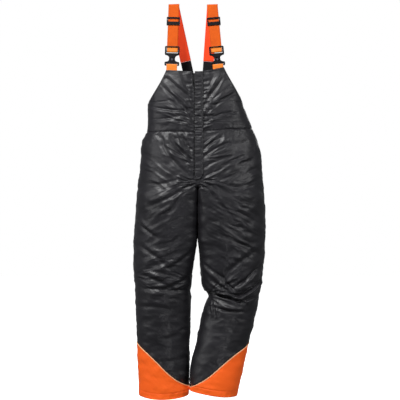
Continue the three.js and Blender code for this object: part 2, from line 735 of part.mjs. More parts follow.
add("storm_flap", stormFlap(), black, zipFrame);
const strip = boxSolid(flapFold, FLAP_HINGE_X, flapFront, -LAYER_GAP, flapBottom + FLAP_CORNER, flapTop);
add("flap_seam_strip", toGeometry(strip), black, zipFrame);

// ---- Braces ------------------------------------------------------------------------------
// Each brace has a frame at the bib's edge: +Z along its front run, +X across it, +Y to the wearer.
// The webbing's outer edge stands this far in from the corner of the bib.
function footX(side, fromCorner) {
  return side * (BIB_TOP_HALF[side] - fromCorner - WEBBING / 2);
}
const braces = [
  { name: "right", footX: footX(RIGHT, 2), footY: -68.4, topX: -88, rearX: -22 },
  { name: "left", footX: footX(LEFT, 8), footY: -70.4, topX: 55, rearX: 34 },
];
const FOOT_Z = Z_BIB + 8;
const REAR_SEW = 20; // elastic below the top of the back bib

// Distances up the front run.
const TAB_BAR = 17; // web bar of the socket half
const BAR = 3.6;
const SHOULDER = 24;
const SOCKET_TOP = 46;
const FRAME_FOOT = 63;
const WEB_BAR = 71;
const FRAME_TOP = 89;
const ADJUSTER = 188;
const ADJUSTER_HALF = 15.5;
const TONGUE_END = 27;
const BUTTON_AT = 38;

// A webbing ribbon: stations of centre, width direction and face normal.
function ribbon(stations, width, thick) {
  return tubeSolid(
    stations.map(({ p, across, normal }) => {
      const w = across.clone().multiplyScalar(width / 2);
      const n = normal.clone().multiplyScalar(thick / 2);
      return [
        p.clone().add(w).add(n),
        p.clone().sub(w).add(n),
        p.clone().sub(w).sub(n),
        p.clone().add(w).sub(n),
      ];
    }),
  );
}

// A webbing that bends only in the frame's YZ plane: points are [y, z] along its middle.
function bentWebbing(points, width, thick) {
  return tubeSolid(
    points.map(([y, z], k) => {
      const [y0, z0] = points[Math.max(0, k - 1)];
      const [y1, z1] = points[Math.min(points.length - 1, k + 1)];
      const length = Math.hypot(y1 - y0, z1 - z0);
      const [ny, nz] = [(z1 - z0) / length, -(y1 - y0) / length];
      const at = (x, s) => new THREE.Vector3(x, y + (ny * s * thick) / 2, z + (nz * s * thick) / 2);
      return [at(width / 2, 1), at(-width / 2, 1), at(-width / 2, -1), at(width / 2, -1)];
    }),
  );
}

function arcPoints(y, z, radius, from, to, steps) {
  const points = [];
  for (let k = 0; k <= steps; k++) {
    const angle = lerp(from, to, k / steps);
    points.push([y + radius * Math.cos(angle), z + radius * Math.sin(angle)]);
  }
  return points;
}

const half = WEBBING_THICK / 2;
const barY = half + RUN_CLEAR; // near face of a bar behind the webbing
const barDepth = 3;
const foldRadius = barDepth / 2 + RUN_CLEAR + half; // webbing's middle round such a bar
const returnY = 2 * foldRadius; // the return layer, behind the bar

// Rails beside the webbing from z0 to z1, for a fitting of this rim.
function railSolids(rim, halfDepth, z0, z1) {
  const inner = WEBBING / 2 + WEBBING_CLEAR;
  return [-1, 1].map((s) => {
    const [a, b] = [s * inner, s * (inner + rim)].sort((p, q) => p - q);
    return boxSolid(a, b, -halfDepth, halfDepth, z0, z1);
  });
}

// Frame with bars in front of the webbing, and bars behind it.
function webbingFrame(rim, z0, z1, frontBars, rearBars) {
  const parts = railSolids(rim, FITTING_HALF_DEPTH, z0, z1);
  const reachX = WEBBING / 2 + WEBBING_CLEAR + rim - 1;
  for (const [from, to] of frontBars) {
    parts.push(boxSolid(-reachX, reachX, -FITTING_HALF_DEPTH, -barY, from, to));
  }
  for (const [from, to] of rearBars) {
    parts.push(boxSolid(-reachX, reachX, barY, barY + barDepth, from, to));
  }
  return wasm.Manifold.union(parts);
}

// Cuts a body to a rounded rectangle, seen from the front.
function roundCorners(body, halfWidth, z0, z1, radius) {
  const shape = new THREE.Shape();
  shape.moveTo(halfWidth, z0 + radius);
  shape.absarc(halfWidth - radius, z1 - radius, radius, 0, Math.PI / 2, false);
  shape.absarc(-halfWidth + radius, z1 - radius, radius, Math.PI / 2, Math.PI, false);
  shape.absarc(-halfWidth + radius, z0 + radius, radius, Math.PI, 1.5 * Math.PI, false);
  shape.absarc(halfWidth - radius, z0 + radius, radius, 1.5 * Math.PI, 2 * Math.PI, false);
  return body.intersect(plateSolid(shape, -2 * FITTING_HALF_DEPTH, 2 * FITTING_HALF_DEPTH, 5));
}

// Shoulders that taper from the frame's width to the neck, as an outline from z0 (neck) to z1 (wide).
function shoulderShape(neckZ, wideZ, endZ) {
  const shape = new THREE.Shape();
  shape.moveTo(-NECK_HALF, neckZ);
  shape.lineTo(NECK_HALF, neckZ);
  const flat = FITTING_HALF - FITTING_CORNER;
  const cornerZ = lerp(wideZ, endZ, 0.9);
  shape.quadraticCurveTo(NECK_HALF + 2, lerp(neckZ, wideZ, 0.8), flat, wideZ);
  shape.quadraticCurveTo(FITTING_HALF, wideZ, FITTING_HALF, cornerZ);
  shape.lineTo(FITTING_HALF, endZ);
  shape.lineTo(-FITTING_HALF, endZ);
  shape.lineTo(-FITTING_HALF, cornerZ);
  shape.quadraticCurveTo(-FITTING_HALF, wideZ, -flat, wideZ);
  shape.quadraticCurveTo(-NECK_HALF - 2, lerp(neckZ, wideZ, 0.8), -NECK_HALF, neckZ);
  return shape;
}

// Socket half: a web bar for the bib's tab, a slot, shoulders, and a socket open at the top.
const BUCKLE_HALF_DEPTH = 4.6;
const TONGUE_HALF_DEPTH = 2;
function buckleSocket() {
  const top = SHOULDER + 4;
  const shoulders = plateSolid(
    shoulderShape(SHOULDER + 12, top, SHOULDER - 1),
    -BUCKLE_HALF_DEPTH,
    BUCKLE_HALF_DEPTH,
  );
  const neck = boxSolid(-NECK_HALF, NECK_HALF, -BUCKLE_HALF_DEPTH, BUCKLE_HALF_DEPTH, SHOULDER, SOCKET_TOP);
  const foot = TAB_BAR - BAR / 2;
  const rails = railSolids(FITTING_RIM, BUCKLE_HALF_DEPTH - 1, foot, SHOULDER);
  const bar = barSolid(FITTING_HALF - 1, 0, TAB_BAR, BAR / 2);
  const depth = TONGUE_HALF_DEPTH + TONGUE_CLEAR;
  const socket = boxSolid(-SOCKET_HALF, SOCKET_HALF, -depth, depth, TONGUE_END - 1, SOCKET_TOP + 1);
  const notch = boxSolid(-4.4, 4.4, -BUCKLE_HALF_DEPTH - 1, 0, BUTTON_AT - 7, SOCKET_TOP + 1);
  const body = wasm.Manifold.union([shoulders, neck, bar, ...rails]).subtract(socket).subtract(notch);
  return toGeometry(roundCorners(body, FITTING_HALF, foot, SOCKET_TOP + 9, FITTING_CORNER));
}

// Tongue half: a frame that the webbing turns round, shoulders, and the tongue.
function buckleTongue() {
  const neckZ = SOCKET_TOP + TONGUE_CLEAR;
  const foot = FRAME_FOOT - 2;
  const frame = webbingFrame(FITTING_RIM, foot, FRAME_TOP, [[FRAME_TOP - 3.6, FRAME_TOP]], []);
  const parts = [roundCorners(frame, FITTING_HALF, foot - 9, FRAME_TOP, FITTING_CORNER)];
  parts.push(barSolid(FITTING_HALF - 1, foldRadius, WEB_BAR, barDepth / 2));
  parts.push(
    plateSolid(
      shoulderShape(neckZ, FRAME_FOOT - 6, FRAME_FOOT - 1),
      -BUCKLE_HALF_DEPTH,
      BUCKLE_HALF_DEPTH,
    ),
  );
  const width = SOCKET_HALF - TONGUE_CLEAR;
  parts.push(boxSolid(-width, width, -TONGUE_HALF_DEPTH, TONGUE_HALF_DEPTH, TONGUE_END, neckZ + 2));
  const pocket = boxSolid(-4, 4, -TONGUE_HALF_DEPTH - 1, 0.6, BUTTON_AT - 6, BUTTON_AT + 6.6);
  return toGeometry(wasm.Manifold.union(parts).subtract(pocket));
}

// Release button in the tongue's pocket, proud of the socket's front.
function releaseButton() {
  const shape = new THREE.Shape();
  shape.absellipse(0, BUTTON_AT, 3.6, 5.4, 0, 2 * Math.PI, false, 0);
  const geometry = new THREE.ExtrudeGeometry(shape, { depth: 3.7, bevelEnabled: false, curveSegments: 10 });
  geometry.rotateX(Math.PI / 2);
  geometry.translate(0, 0.6 - BUTTON_TRAVEL - 0.3, 0);
  return toGeometry(toSolid(geometry));
}

function adjuster() {
  const [low, high] = [ADJUSTER - ADJUSTER_HALF, ADJUSTER + ADJUSTER_HALF];
  const front = [[low, low + 13], [high - 6, high]];
  const frame = webbingFrame(ADJUSTER_RIM, low, high, front, [[ADJUSTER - 1, ADJUSTER + 5]]);
  const halfWidth = WEBBING / 2 + WEBBING_CLEAR + ADJUSTER_RIM;
  return toGeometry(roundCorners(frame, halfWidth, low, high, ADJUSTER_CORNER));
}

// Tab: a doubled webbing round the socket's web bar, both ends sewn behind the bib's edge.
const TAB_DEPTH = 26;
const TAB_THICK = 1.6;
function tab() {
  const radius = BAR / 2 + RUN_CLEAR + TAB_THICK / 2;
  const layer = TAB_THICK / 2 + 0.15;
  const lean = 0.16; // below the bib's edge the tab follows the bib, which stands steeper than the brace
  return bentWebbing(
    [
      [lean * TAB_DEPTH - layer, -TAB_DEPTH],
      [-layer, -2],
      [-layer, 5],
      [-radius, TAB_BAR - 3],
      ...arcPoints(0, TAB_BAR, radius, Math.PI, 0, 8),
      [radius, TAB_BAR - 3],
      [layer, 5],
      [layer, -2],
      [lean * TAB_DEPTH + layer, -TAB_DEPTH],
    ],
    WEBBING - 1,
    TAB_THICK,
  );
}

for (const { name, footX, footY, topX, rearX } of braces) {
  const foot = new THREE.Vector3(footX, footY, FOOT_Z);
  const top = new THREE.Vector3(topX, -BAR_RADIUS, 0);
  const up = top.clone().sub(foot).normalize();
  const across = new THREE.Vector3(1, 0, 0).addScaledVector(up, -up.x).normalize();
  const inward = up.clone().cross(across).normalize();
  const frame = new THREE.Group();
  frame.quaternion.setFromRotationMatrix(new THREE.Matrix4().makeBasis(across, inward, up));
  frame.position.copy(foot);
  garment.add(frame);

  add(`buckle_tab_${name}`, tab(), orange, frame);
  add(`buckle_socket_${name}`, buckleSocket(), plastic, frame);
  add(`buckle_tongue_${name}`, buckleTongue(), plastic, frame);
  add(`release_button_${name}`, releaseButton(), plastic, frame);
  add(`adjuster_${name}`, adjuster(), plastic, frame);

  // The return layer, from the fold at the web bar up to the adjuster's rear bar.
  const foldTop = WEB_BAR + 3;
  const lower = ADJUSTER - 1 - RUN_CLEAR - 0.3;
  add(
    `webbing_return_${name}`,
    bentWebbing(
      [
        [returnY, foldTop + SEAM_GAP],
        [returnY, lower - 14],
        [barY + barDepth / 2, lower],
      ],
      WEBBING,
      WEBBING_THICK,
    ),
    orange,
    frame,
  );

  // The main webbing: fold, front run, over the bar, and down to the elastic.
  const toWorld = ([y, z]) => frame.localToWorld(new THREE.Vector3(0, y, z));
  frame.updateMatrixWorld(true);
  const stations = [];
  const flatAcross = across;
  const fold = arcPoints(foldRadius, WEB_BAR, foldRadius, 0, -Math.PI, 8);
  const lowRun = [[returnY, foldTop], ...fold, [0, WEB_BAR + 6], [0, ADJUSTER - 20], [0, ADJUSTER + 20]];
  lowRun.forEach((point, k) => {
    const before = lowRun[Math.max(0, k - 1)];
    const after = lowRun[Math.min(lowRun.length - 1, k + 1)];
    const along = toWorld(after).sub(toWorld(before)).normalize();
    stations.push({ p: toWorld(point), across: flatAcross, normal: along.clone().cross(flatAcross) });
  });
  const rearTop = new THREE.Vector3(topX, BAR_RADIUS, 0);
  const rearFoot = new THREE.Vector3(rearX, backY(Z_BACK_TOP) - SHELL - 2.6, Z_BACK_TOP);
  const down = rearFoot.clone().sub(rearTop).normalize();
  const rearAcross = new THREE.Vector3(1, 0, 0).addScaledVector(down, -down.x).normalize();
  // Over the bar, from the front run's own direction to the rear run's.
  const arcSteps = 10;
  for (let k = 0; k <= arcSteps; k++) {
    const share = k / arcSteps;
    const angle = Math.PI * (1 - share);
    const p = new THREE.Vector3(topX, BAR_RADIUS * Math.cos(angle), BAR_RADIUS * Math.sin(angle));
    const side = across.clone().lerp(rearAcross, smooth(share, 0, 1)).normalize();
    const along = new THREE.Vector3(0, Math.sin(angle), -Math.cos(angle));
    if (share < 0.2) along.lerp(up, 1 - share / 0.2);
    if (share > 0.8) along.lerp(down, (share - 0.8) / 0.2);
    along.normalize();
    const square = side.addScaledVector(along, -side.dot(along)).normalize();
    stations.push({ p, across: square, normal: along.clone().cross(square) });
  }
  const rearNormal = down.clone().cross(rearAcross);
  const elasticTop = rearTop.clone().addScaledVector(down, -ELASTIC_TOP / down.z);
  const midRear = rearTop.clone().lerp(elasticTop, 0.5);
  stations.push({ p: midRear, across: rearAcross, normal: rearNormal });
  stations.push({ p: elasticTop, across: rearAcross, normal: rearNormal });
  add(`brace_webbing_${name}`, ribbon(stations, WEBBING, WEBBING_THICK), orange);

  // Elastic from the rear webbing down inside the back bib.
  const start = elasticTop.clone().addScaledVector(down, SEAM_GAP);
  const end = rearFoot.clone().add(new THREE.Vector3(0, 0, -REAR_SEW));
  end.y = skin(rearX < 0 ? RIGHT : LEFT, BACK, end.z, 0.2).y - SHELL - 3.4;
  add(
    `rear_elastic_${name}`,
    ribbon(
      [
        { p: start, across: rearAcross, normal: rearNormal },
        { p: rearFoot, across: rearAcross, normal: rearNormal },
        { p: end, across: new THREE.Vector3(1, 0, 0), normal: new THREE.Vector3(0, -1, 0) },
      ],
      WEBBING - 1,
      ELASTIC_THICK,
    ),
    dark,
  );
}

export default garment;
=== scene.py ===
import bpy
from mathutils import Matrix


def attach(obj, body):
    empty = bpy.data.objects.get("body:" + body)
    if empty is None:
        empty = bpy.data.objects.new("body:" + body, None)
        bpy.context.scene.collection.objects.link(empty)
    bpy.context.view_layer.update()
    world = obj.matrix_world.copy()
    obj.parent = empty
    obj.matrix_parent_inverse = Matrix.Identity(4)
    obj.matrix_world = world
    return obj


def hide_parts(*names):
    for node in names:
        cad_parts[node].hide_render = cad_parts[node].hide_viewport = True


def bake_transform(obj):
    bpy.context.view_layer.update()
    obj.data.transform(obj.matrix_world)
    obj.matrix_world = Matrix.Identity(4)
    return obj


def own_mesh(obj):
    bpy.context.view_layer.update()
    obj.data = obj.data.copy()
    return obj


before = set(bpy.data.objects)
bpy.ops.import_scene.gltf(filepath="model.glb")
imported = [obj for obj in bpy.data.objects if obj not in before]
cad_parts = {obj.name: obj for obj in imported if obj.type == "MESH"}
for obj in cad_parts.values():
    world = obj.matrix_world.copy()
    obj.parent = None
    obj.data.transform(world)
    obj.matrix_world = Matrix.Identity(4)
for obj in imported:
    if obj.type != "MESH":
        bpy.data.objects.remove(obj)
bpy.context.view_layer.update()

import math

import bpy
import numpy as np
from mathutils import Vector, noise

# Lengths here are in millimetres and are turned into metres when a mesh is made.
MM = 0.001
RIGHT, LEFT = -1, 1
FRONT, BACK = -1, 1
SIDE_NAMES = ((RIGHT, "right"), (LEFT, "left"))
scene = bpy.context.scene

# ---- Landmarks, as in the CAD source ----
Z_BIB = -246.0
Z_WAIST = Z_BIB - 222
Z_CROTCH = Z_WAIST - 237
Z_HEM = Z_CROTCH - 732
Z_ARMHOLE = Z_BIB - 115
Z_BACK_TOP = Z_BIB - 52
Z_FLY = Z_CROTCH + 62
Z_KNEE = Z_CROTCH - 360
Z_HIP = Z_WAIST - 50
Z_THIGH = Z_CROTCH - 178
Z_CALF = Z_KNEE - 178
CUFF_OUTER, CUFF_SWEEP, CUFF_CURVE = 193, 163, 0.78
FRONT_TOP_Y, FRONT_FLY_Y = -84.0, -121.0
ZIP_HALF_GAP = 6.2
FLAP_GAP, FLAP_TOP_GAP = 12.5, 21.0  # the right half stands open beside the flap's free edge
SHELL = 2.2
X_AXIS = np.array([1.0, 0, 0])


def smooth(x, low, high):
    t = np.clip((np.asarray(x, float) - low) / (high - low), 0, 1)
    return t * t * (3 - 2 * t)


def lerp(a, b, t):
    return a + (b - a) * t


def bell(distance, width):
    """1 on a line, and dying away beyond about a width from it."""
    return np.exp(-((distance / width) ** 2))


def unit(v):
    """Vectors along the last axis, each made one long."""
    v = np.asarray(v, float)
    return v / np.linalg.norm(v, axis=-1, keepdims=True)


def run_along(line):
    """The distance along a line from its start to each of its points."""
    return np.concatenate([[0], np.cumsum(np.linalg.norm(np.diff(line, axis=0), axis=1))])


def values_at(run, values, at):
    """Values at distances along a line, between those of its points."""
    return np.stack([np.interp(at, run, column) for column in values.T], -1)


def resample(line, step):
    """The same line with its points evenly apart."""
    line = np.asarray(line, float)
    run = run_along(line)
    return values_at(run, line, np.linspace(0, run[-1], max(3, int(run[-1] / step) + 1)))


def profile(*knots):
    """A smooth value along the height, through (z, value) knots listed from the top down."""
    z = np.array([k[0] for k in knots][::-1], float)
    v = np.array([k[1] for k in knots][::-1], float)
    m = np.empty_like(v)
    m[1:-1] = (v[2:] - v[:-2]) / (z[2:] - z[:-2])
    m[0], m[-1] = (v[1] - v[0]) / (z[1] - z[0]), (v[-1] - v[-2]) / (z[-1] - z[-2])

    def at(height):
        x = np.clip(height, z[0], z[-1])
        k = np.clip(np.searchsorted(z, x, side="right") - 1, 0, len(z) - 2)
        h = z[k + 1] - z[k]
        t = (x - z[k]) / h
        return (
            (1 + 2 * t) * (1 - t) ** 2 * v[k]
            + t * (1 - t) ** 2 * h * m[k]
            + t * t * (3 - 2 * t) * v[k + 1]
            + t * t * (t - 1) * h * m[k + 1]
        )

    return at


OUTSIDE = {
    RIGHT: profile(
        (Z_BIB, 150), (Z_ARMHOLE, 183), (Z_WAIST + 20, 186), (Z_WAIST - 8, 195), (Z_WAIST - 34, 207),
        (Z_WAIST - 110, 213), (Z_CROTCH, 226), (Z_THIGH, 237), (Z_CROTCH - 270, 239), (Z_KNEE + 40, 235),
        (Z_KNEE - 50, 231), (Z_CALF, 226), (Z_HEM, 219),
    ),
    LEFT: profile(
        (Z_BIB, 141), (Z_ARMHOLE, 168), (Z_ARMHOLE - 45, 185), (Z_WAIST + 16, 204), (Z_HIP, 229),
        (Z_HIP - 70, 240), (Z_CROTCH, 249), (Z_CROTCH - 100, 252), (Z_THIGH, 251), (Z_CROTCH - 250, 246),
        (Z_KNEE + 40, 238), (Z_KNEE - 50, 221), (Z_CALF, 192), (Z_HEM, 146),
    ),
}
INSIDE = {
    RIGHT: profile(
        (Z_CROTCH, 0.3), (Z_CROTCH - 150, 1), (Z_THIGH - 22, 9), (Z_KNEE + 77, 19), (Z_KNEE + 30, 23),
        (Z_KNEE + 12, 27), (Z_KNEE - 10, 24), (Z_CALF, 28), (Z_HEM, 31),
    ),
    LEFT: profile(
        (Z_CROTCH, 0.3), (Z_CROTCH - 150, 1), (Z_THIGH - 22, 8), (Z_KNEE + 77, 12), (Z_KNEE + 32, 17),
        (Z_KNEE - 6, 38), (Z_KNEE - 34, 29), (Z_KNEE - 78, 16), (Z_CALF, -6), (Z_CALF - 78, -25),
        (Z_HEM, -33),
    ),
}
front_y = profile((Z_CROTCH, -119), (Z_THIGH, -101), (Z_KNEE, -89), (Z_CALF, -75), (Z_HEM, -71))
back_y = profile(
    (Z_BACK_TOP, 60), (Z_ARMHOLE, 78), (Z_WAIST, 99), (Z_HIP - 50, 119), (Z_CROTCH + 55, 128),
    (Z_CROTCH, 125), (Z_THIGH, 101), (Z_KNEE, 81), (Z_CALF, 82), (Z_HEM, 72),
)
squareness = profile((Z_BIB, 4), (Z_WAIST, 2.7), (Z_CROTCH, 2.3))
leg_squareness = profile(
    (Z_CROTCH, 9.0), (Z_CROTCH - 90, 7.0), (Z_THIGH - 22, 4.5), (Z_KNEE, 2.5), (Z_HEM, 2.3)
)
BIB_TOP_HALF = {RIGHT: 117, LEFT: 104}
BACK_TOP_HALF = 82
ARMHOLE_POWER = {RIGHT: 0.4, LEFT: 0.5}
BIB_TOP_RISE = {RIGHT: 5, LEFT: 16}
WAIST_RISE = {RIGHT: 3, LEFT: 18}
HEM_DIP = {RIGHT: 15, LEFT: 6}
HEM_INNER_RISE = {RIGHT: 2, LEFT: 22}


def centre_front(z):
    return lerp(FRONT_TOP_Y, FRONT_FLY_Y, (Z_BIB - z) / (Z_BIB - Z_FLY))


def side_seam_y(side, z):
    share = smooth(Z_KNEE + 60 - z, 0, Z_KNEE + 60 - Z_HEM)
    return -30 * share if side == LEFT else 6 * share


def half_depth(face, z):
    if face == BACK:
        return back_y(z)
    return -lerp(centre_front(np.maximum(z, Z_FLY)), front_y(z), smooth(Z_FLY - z, 0, Z_FLY - Z_CROTCH))


def reach(phi, a, b, n):
    return (np.abs(np.cos(phi) / a) ** n + np.abs(np.sin(phi) / b) ** n) ** (-1 / n)


def armhole_angle(side, face, z):
    top = Z_BIB if face == FRONT else Z_BACK_TOP
    half = BIB_TOP_HALF[side] if face == FRONT else BACK_TOP_HALF
    a, b, n = OUTSIDE[side](top), half_depth(face, top), squareness(top)
    angle = math.atan2(b * (1 - (half / a) ** n) ** (1 / n), half)
    share = np.maximum(0, (z - Z_ARMHOLE) / (top - Z_ARMHOLE))
    return angle * share ** (ARMHOLE_POWER[side] if face == FRONT else 0.7)


def surface(side, face, z, u):
    """Points of the garment's outer face for arrays of heights and of shares from centre to side."""
    a, b, n = OUTSIDE[side](z), half_depth(face, z), squareness(z)
    phi = lerp(math.pi / 2, armhole_angle(side, face, z), u)
    r = reach(phi, a, b, n)
    x, y = r * np.cos(phi), r * np.sin(phi)
    # The section turns from the body's to the leg's. On the front it moves sideways first,
    # so that the gap below the fly stays narrow.
    if face == FRONT:
        sideways = smooth(Z_FLY + 4 - z, 0, 44)
        deeper = smooth(Z_FLY - 18 - z, 0, Z_FLY - 18 - Z_CROTCH)
        inner_half = smooth(0.62 - u, 0, 0.4)
    else:
        sideways = deeper = smooth(Z_FLY - 6 - z, 0, Z_FLY - 6 - Z_CROTCH)
        inner_half = 0.3
    inner = INSIDE[side](z)
    half = (a - inner) / 2
    turn = math.pi * (1 - u)
    leg = reach(turn, half, b, lerp(2.2, leg_squareness(z), inner_half))
    x = lerp(x, inner + half + leg * np.cos(turn), sideways)
    if face == FRONT:
        y = np.where(sideways > 0, b * (1 - np.clip(x / a, 0, 1) ** n) ** (1 / n), y)
        open_edge = lerp(FLAP_GAP, FLAP_TOP_GAP, smooth(z, Z_BIB - 90, Z_BIB + 6))
        edge = ZIP_HALF_GAP + SHELL if side == LEFT else open_edge
        x = np.maximum(x, np.where(z > Z_CROTCH, edge * (1 - smooth(Z_FLY + 8 - z, 0, 14)), -200))
    y = lerp(y, leg * np.sin(turn), deeper)
    return np.stack([side * x, side_seam_y(side, z) + face * y, z], -1)


# Rows of the grid: bib top to armhole, to the waist seam, to the cuff seam, to the hem.
ROWS = {FRONT: (16, 14, 110, 14), BACK: (8, 14, 110, 14)}
COLUMNS = {FRONT: 44, BACK: 30}


def row_marks(face):
    return np.cumsum((0,) + ROWS[face])


def grid(side, face, row_factor=1, column_factor=1):
    """The outer face of one half: rows and columns of points, and the share u of each column."""
    u = np.linspace(0, 1, COLUMNS[face] * column_factor + 1)
    across = (1 - np.cos(math.pi * (1 - u))) / 2
    top = Z_BIB + BIB_TOP_RISE[side] * u**2 if face == FRONT else Z_BACK_TOP + 0 * u
    waist = Z_WAIST + WAIST_RISE[side] * u
    seam = Z_HEM + CUFF_OUTER - CUFF_SWEEP * across**CUFF_CURVE
    dip = HEM_DIP[side] * np.sin(math.pi * u) * (1 if face == FRONT else -0.4)
    hem = Z_HEM - dip + HEM_INNER_RISE[side] * across
    levels = (top, Z_ARMHOLE + 0 * u, waist, seam, hem)
    counts = [n * row_factor for n in ROWS[face]]
    rows = [lerp(a, b, np.arange(n)[:, None] / n) for a, b, n in zip(levels, levels[1:], counts)]
    z = np.vstack([*rows, hem])
    return surface(side, face, z, np.broadcast_to(u, z.shape)), u


def parity(side, face):
    return -side * face


def normals(points, sign):
    across, down = np.gradient(points, axis=1), np.gradient(points, axis=0)
    n = np.cross(down, across) * sign
    return n / np.maximum(np.linalg.norm(n, axis=-1, keepdims=True), 1e-9)


def smooth_noise(points, scale, seed):
    """Smooth noise in about -1 to 1, where scale is the size of its features along each axis."""
    scale = np.broadcast_to(scale, (3,))
    q = points / scale + seed * 17.3
    flat = q.reshape(-1, 3)
    return np.array([noise.noise(Vector(p)) for p in flat]).reshape(points.shape[:-1])


# ---- Creases that are laid one by one ----
# Each has its start, middle and end as (x, height) on the front, its half width, its depth and
# the side of its ridge.
CREASES = [
    # Right side of the bib: tension folds from the brace to the zip.
    ((-140, -288), (-95, -330), (-22, -410), 7, 5.5, 1),
    ((-120, -262), (-80, -300), (-20, -352), 6, 4, 1),
    ((-178, -372), (-110, -392), (-24, -392), 6, 5.5, -1),
    ((-176, -420), (-120, -425), (-60, -410), 6, 3, -1),
    # Left side of the bib.
    ((100, -256), (70, -305), (22, -368), 7, 5.5, -1),
    ((135, -330), (90, -345), (40, -395), 7, 4.5, -1),
    ((150, -400), (100, -392), (48, -420), 6, 4, 1),
    # Below the waist seam.
    ((-100, -472), (-74, -545), (-16, -576), 8, 7, 1),
    ((-140, -476), (-118, -560), (-40, -618), 8, 5, 1),
    ((-60, -472), (-48, -515), (-14, -540), 6, 5, 1),
    ((22, -562), (50, -532), (112, -508), 6, 5, 1),
    ((22, -532), (44, -510), (92, -488), 5, 4, 1),
    ((24, -600), (60, -572), (120, -560), 7, 4, 1),
    # Round the crotch.
    ((4, -652), (44, -650), (84, -704), 5, 7, -1),
    ((4, -660), (34, -664), (66, -702), 4, 6, -1),
    ((6, -672), (24, -664), (52, -690), 4, 4, -1),
    ((14, -646), (50, -640), (96, -660), 5, 5, -1),
    ((20, -636), (52, -616), (90, -606), 5, 4, -1),
    ((-2, -656), (-40, -664), (-96, -706), 5, 7, 1),
    ((-4, -650), (-46, -652), (-72, -640), 4, 5, 1),
    ((-4, -642), (-34, -650), (-60, -630), 4, 5, 1),
    ((-6, -664), (-60, -690), (-150, -730), 7, 5, 1),
    ((4, -700), (10, -730), (14, -770), 5, 3, -1),
    # Right leg.
    ((-230, -792), (-200, -822), (-150, -852), 8, 7, 1),
    ((-226, -880), (-170, -905), (-110, -960), 10, 6, 1),
    ((-22, -905), (-70, -950), (-130, -985), 9, 6, -1),
    ((-226, -985), (-160, -1000), (-90, -1040), 9, 6, 1),
    ((-28, -1000), (-80, -1022), (-150, -1060), 8, 5, -1),
    ((-34, -1044), (-90, -1052), (-200, -1040), 8, 6, 1),
    ((-222, -1110), (-160, -1100), (-100, -1120), 9, 4, 1),
    # Left knee.
    ((36, -1054), (96, -1064), (172, -1094), 6, 23, 1),
    ((44, -1046), (104, -1052), (160, -1074), 6, 10, -1),
    ((120, -1072), (190, -1062), (240, -1004), 6, 14, -1),
    ((150, -1086), (200, -1080), (232, -1060), 5, 6, -1),
    ((52, -1010), (84, -1036), (118, -1046), 6, 9, -1),
    ((84, -985), (108, -1030), (140, -1050), 5, 10, -1),
    ((64, -975), (92, -1020), (124, -1042), 6, 8, -1),
    ((24, -950), (60, -985), (100, -1005), 7, 6, -1),
    ((128, -1040), (180, -1010), (226, -960), 7, 10, -1),
    ((60, -1108), (105, -1126), (168, -1126), 6, 10, 1),
    ((52, -1082), (64, -1104), (60, -1150), 4, 6, -1),
    ((62, -1086), (78, -1106), (76, -1140), 4, 5, -1),
    ((226, -900), (170, -925), (110, -980), 10, 5, -1),
]


def crease_depth(x, z):
    """How far the laid creases push the front in or out at a point."""
    total = np.zeros_like(x)
    for a, b, c, width, depth, ridge_side in CREASES:
        t = np.linspace(0, 1, 25)[:, None]
        path = (1 - t) ** 2 * np.array(a) + 2 * t * (1 - t) * np.array(b) + t**2 * np.array(c)
        margin = 6 * width
        low, high = path.min(0) - margin, path.max(0) + margin
        near = (x > low[0]) & (x < high[0]) & (z > low[1]) & (z < high[1])
        p = np.stack([x[near], z[near]], -1)
        if not len(p):
            continue
        start, step = path[:-1], np.diff(path, axis=0)
        rel = p[:, None] - start[None]
        along = np.clip((rel * step).sum(-1) / (step**2).sum(-1), 0, 1)
        off = rel - along[..., None] * step
        distance = np.linalg.norm(off, axis=-1)
        k = distance.argmin(1)
        rows = np.arange(len(p))
        share = (k + along[rows, k]) / len(step)
        cross = step[k, 0] * off[rows, k, 1] - step[k, 1] * off[rows, k, 0]
        s = np.sign(cross) * distance[rows, k] / width
        fade = np.sin(math.pi * np.clip(share * 0.94 + 0.03, 0, 1)) ** 0.7
        fold = -0.8 * bell(s, 0.8) + 0.5 * bell(s - 1.7 * ridge_side, 1.1)
        total[near] += depth * fade * fold
    return total


# Folds that radiate from a point: pole (x, height), middle direction and half spread in degrees,
# where they begin and end, folds for each radian, height of the folds.
FANS = [
    # Right side of the bib, towards the lower zip, and down from the brace.
    ((2, Z_WAIST + 22), 150, 34, 16, 175, 9, 2.6),
    ((8, Z_WAIST + 70), 132, 26, 14, 190, 7, 2.4),
    # Left side of the bib.
    ((20, Z_WAIST + 84), 48, 34, 8, 165, 7, 2.6),
    ((20, Z_WAIST + 30), 16, 22, 8, 175, 9, 2.0),
    # Hips, towards the zip.
    ((14, Z_FLY + 40), 132, 34, 18, 175, 8, 2.6),
    ((8, Z_FLY + 70), 26, 34, 20, 165, 7, 2.2),
    # Whiskers of the crotch, short and sharp, then long and broad.
    ((2, Z_FLY - 8), 196, 46, 2, 90, 11, 3.4),
    ((-2, Z_FLY - 8), -14, 46, 2, 90, 11, 3.4),
    ((10, Z_FLY + 10), 211, 34, 60, 300, 6, 3.2),
    ((-10, Z_FLY + 10), -30, 34, 60, 300, 6, 3.2),
    # Left knee, from the inner bend.
    ((34, Z_KNEE), 24, 34, 8, 200, 5, 3.4),
    ((36, Z_KNEE - 4), -30, 26, 6, 120, 5, 3.0),
    # Right knee, from the inside and from the outside.
    ((-12, Z_KNEE + 50), 180, 38, 30, 200, 6, 3.0),
    ((-250, Z_KNEE + 70), 0, 44, 14, 150, 6, 1.8),
    ((262, Z_KNEE + 60), 206, 40, 14, 180, 6, 2.0),
]

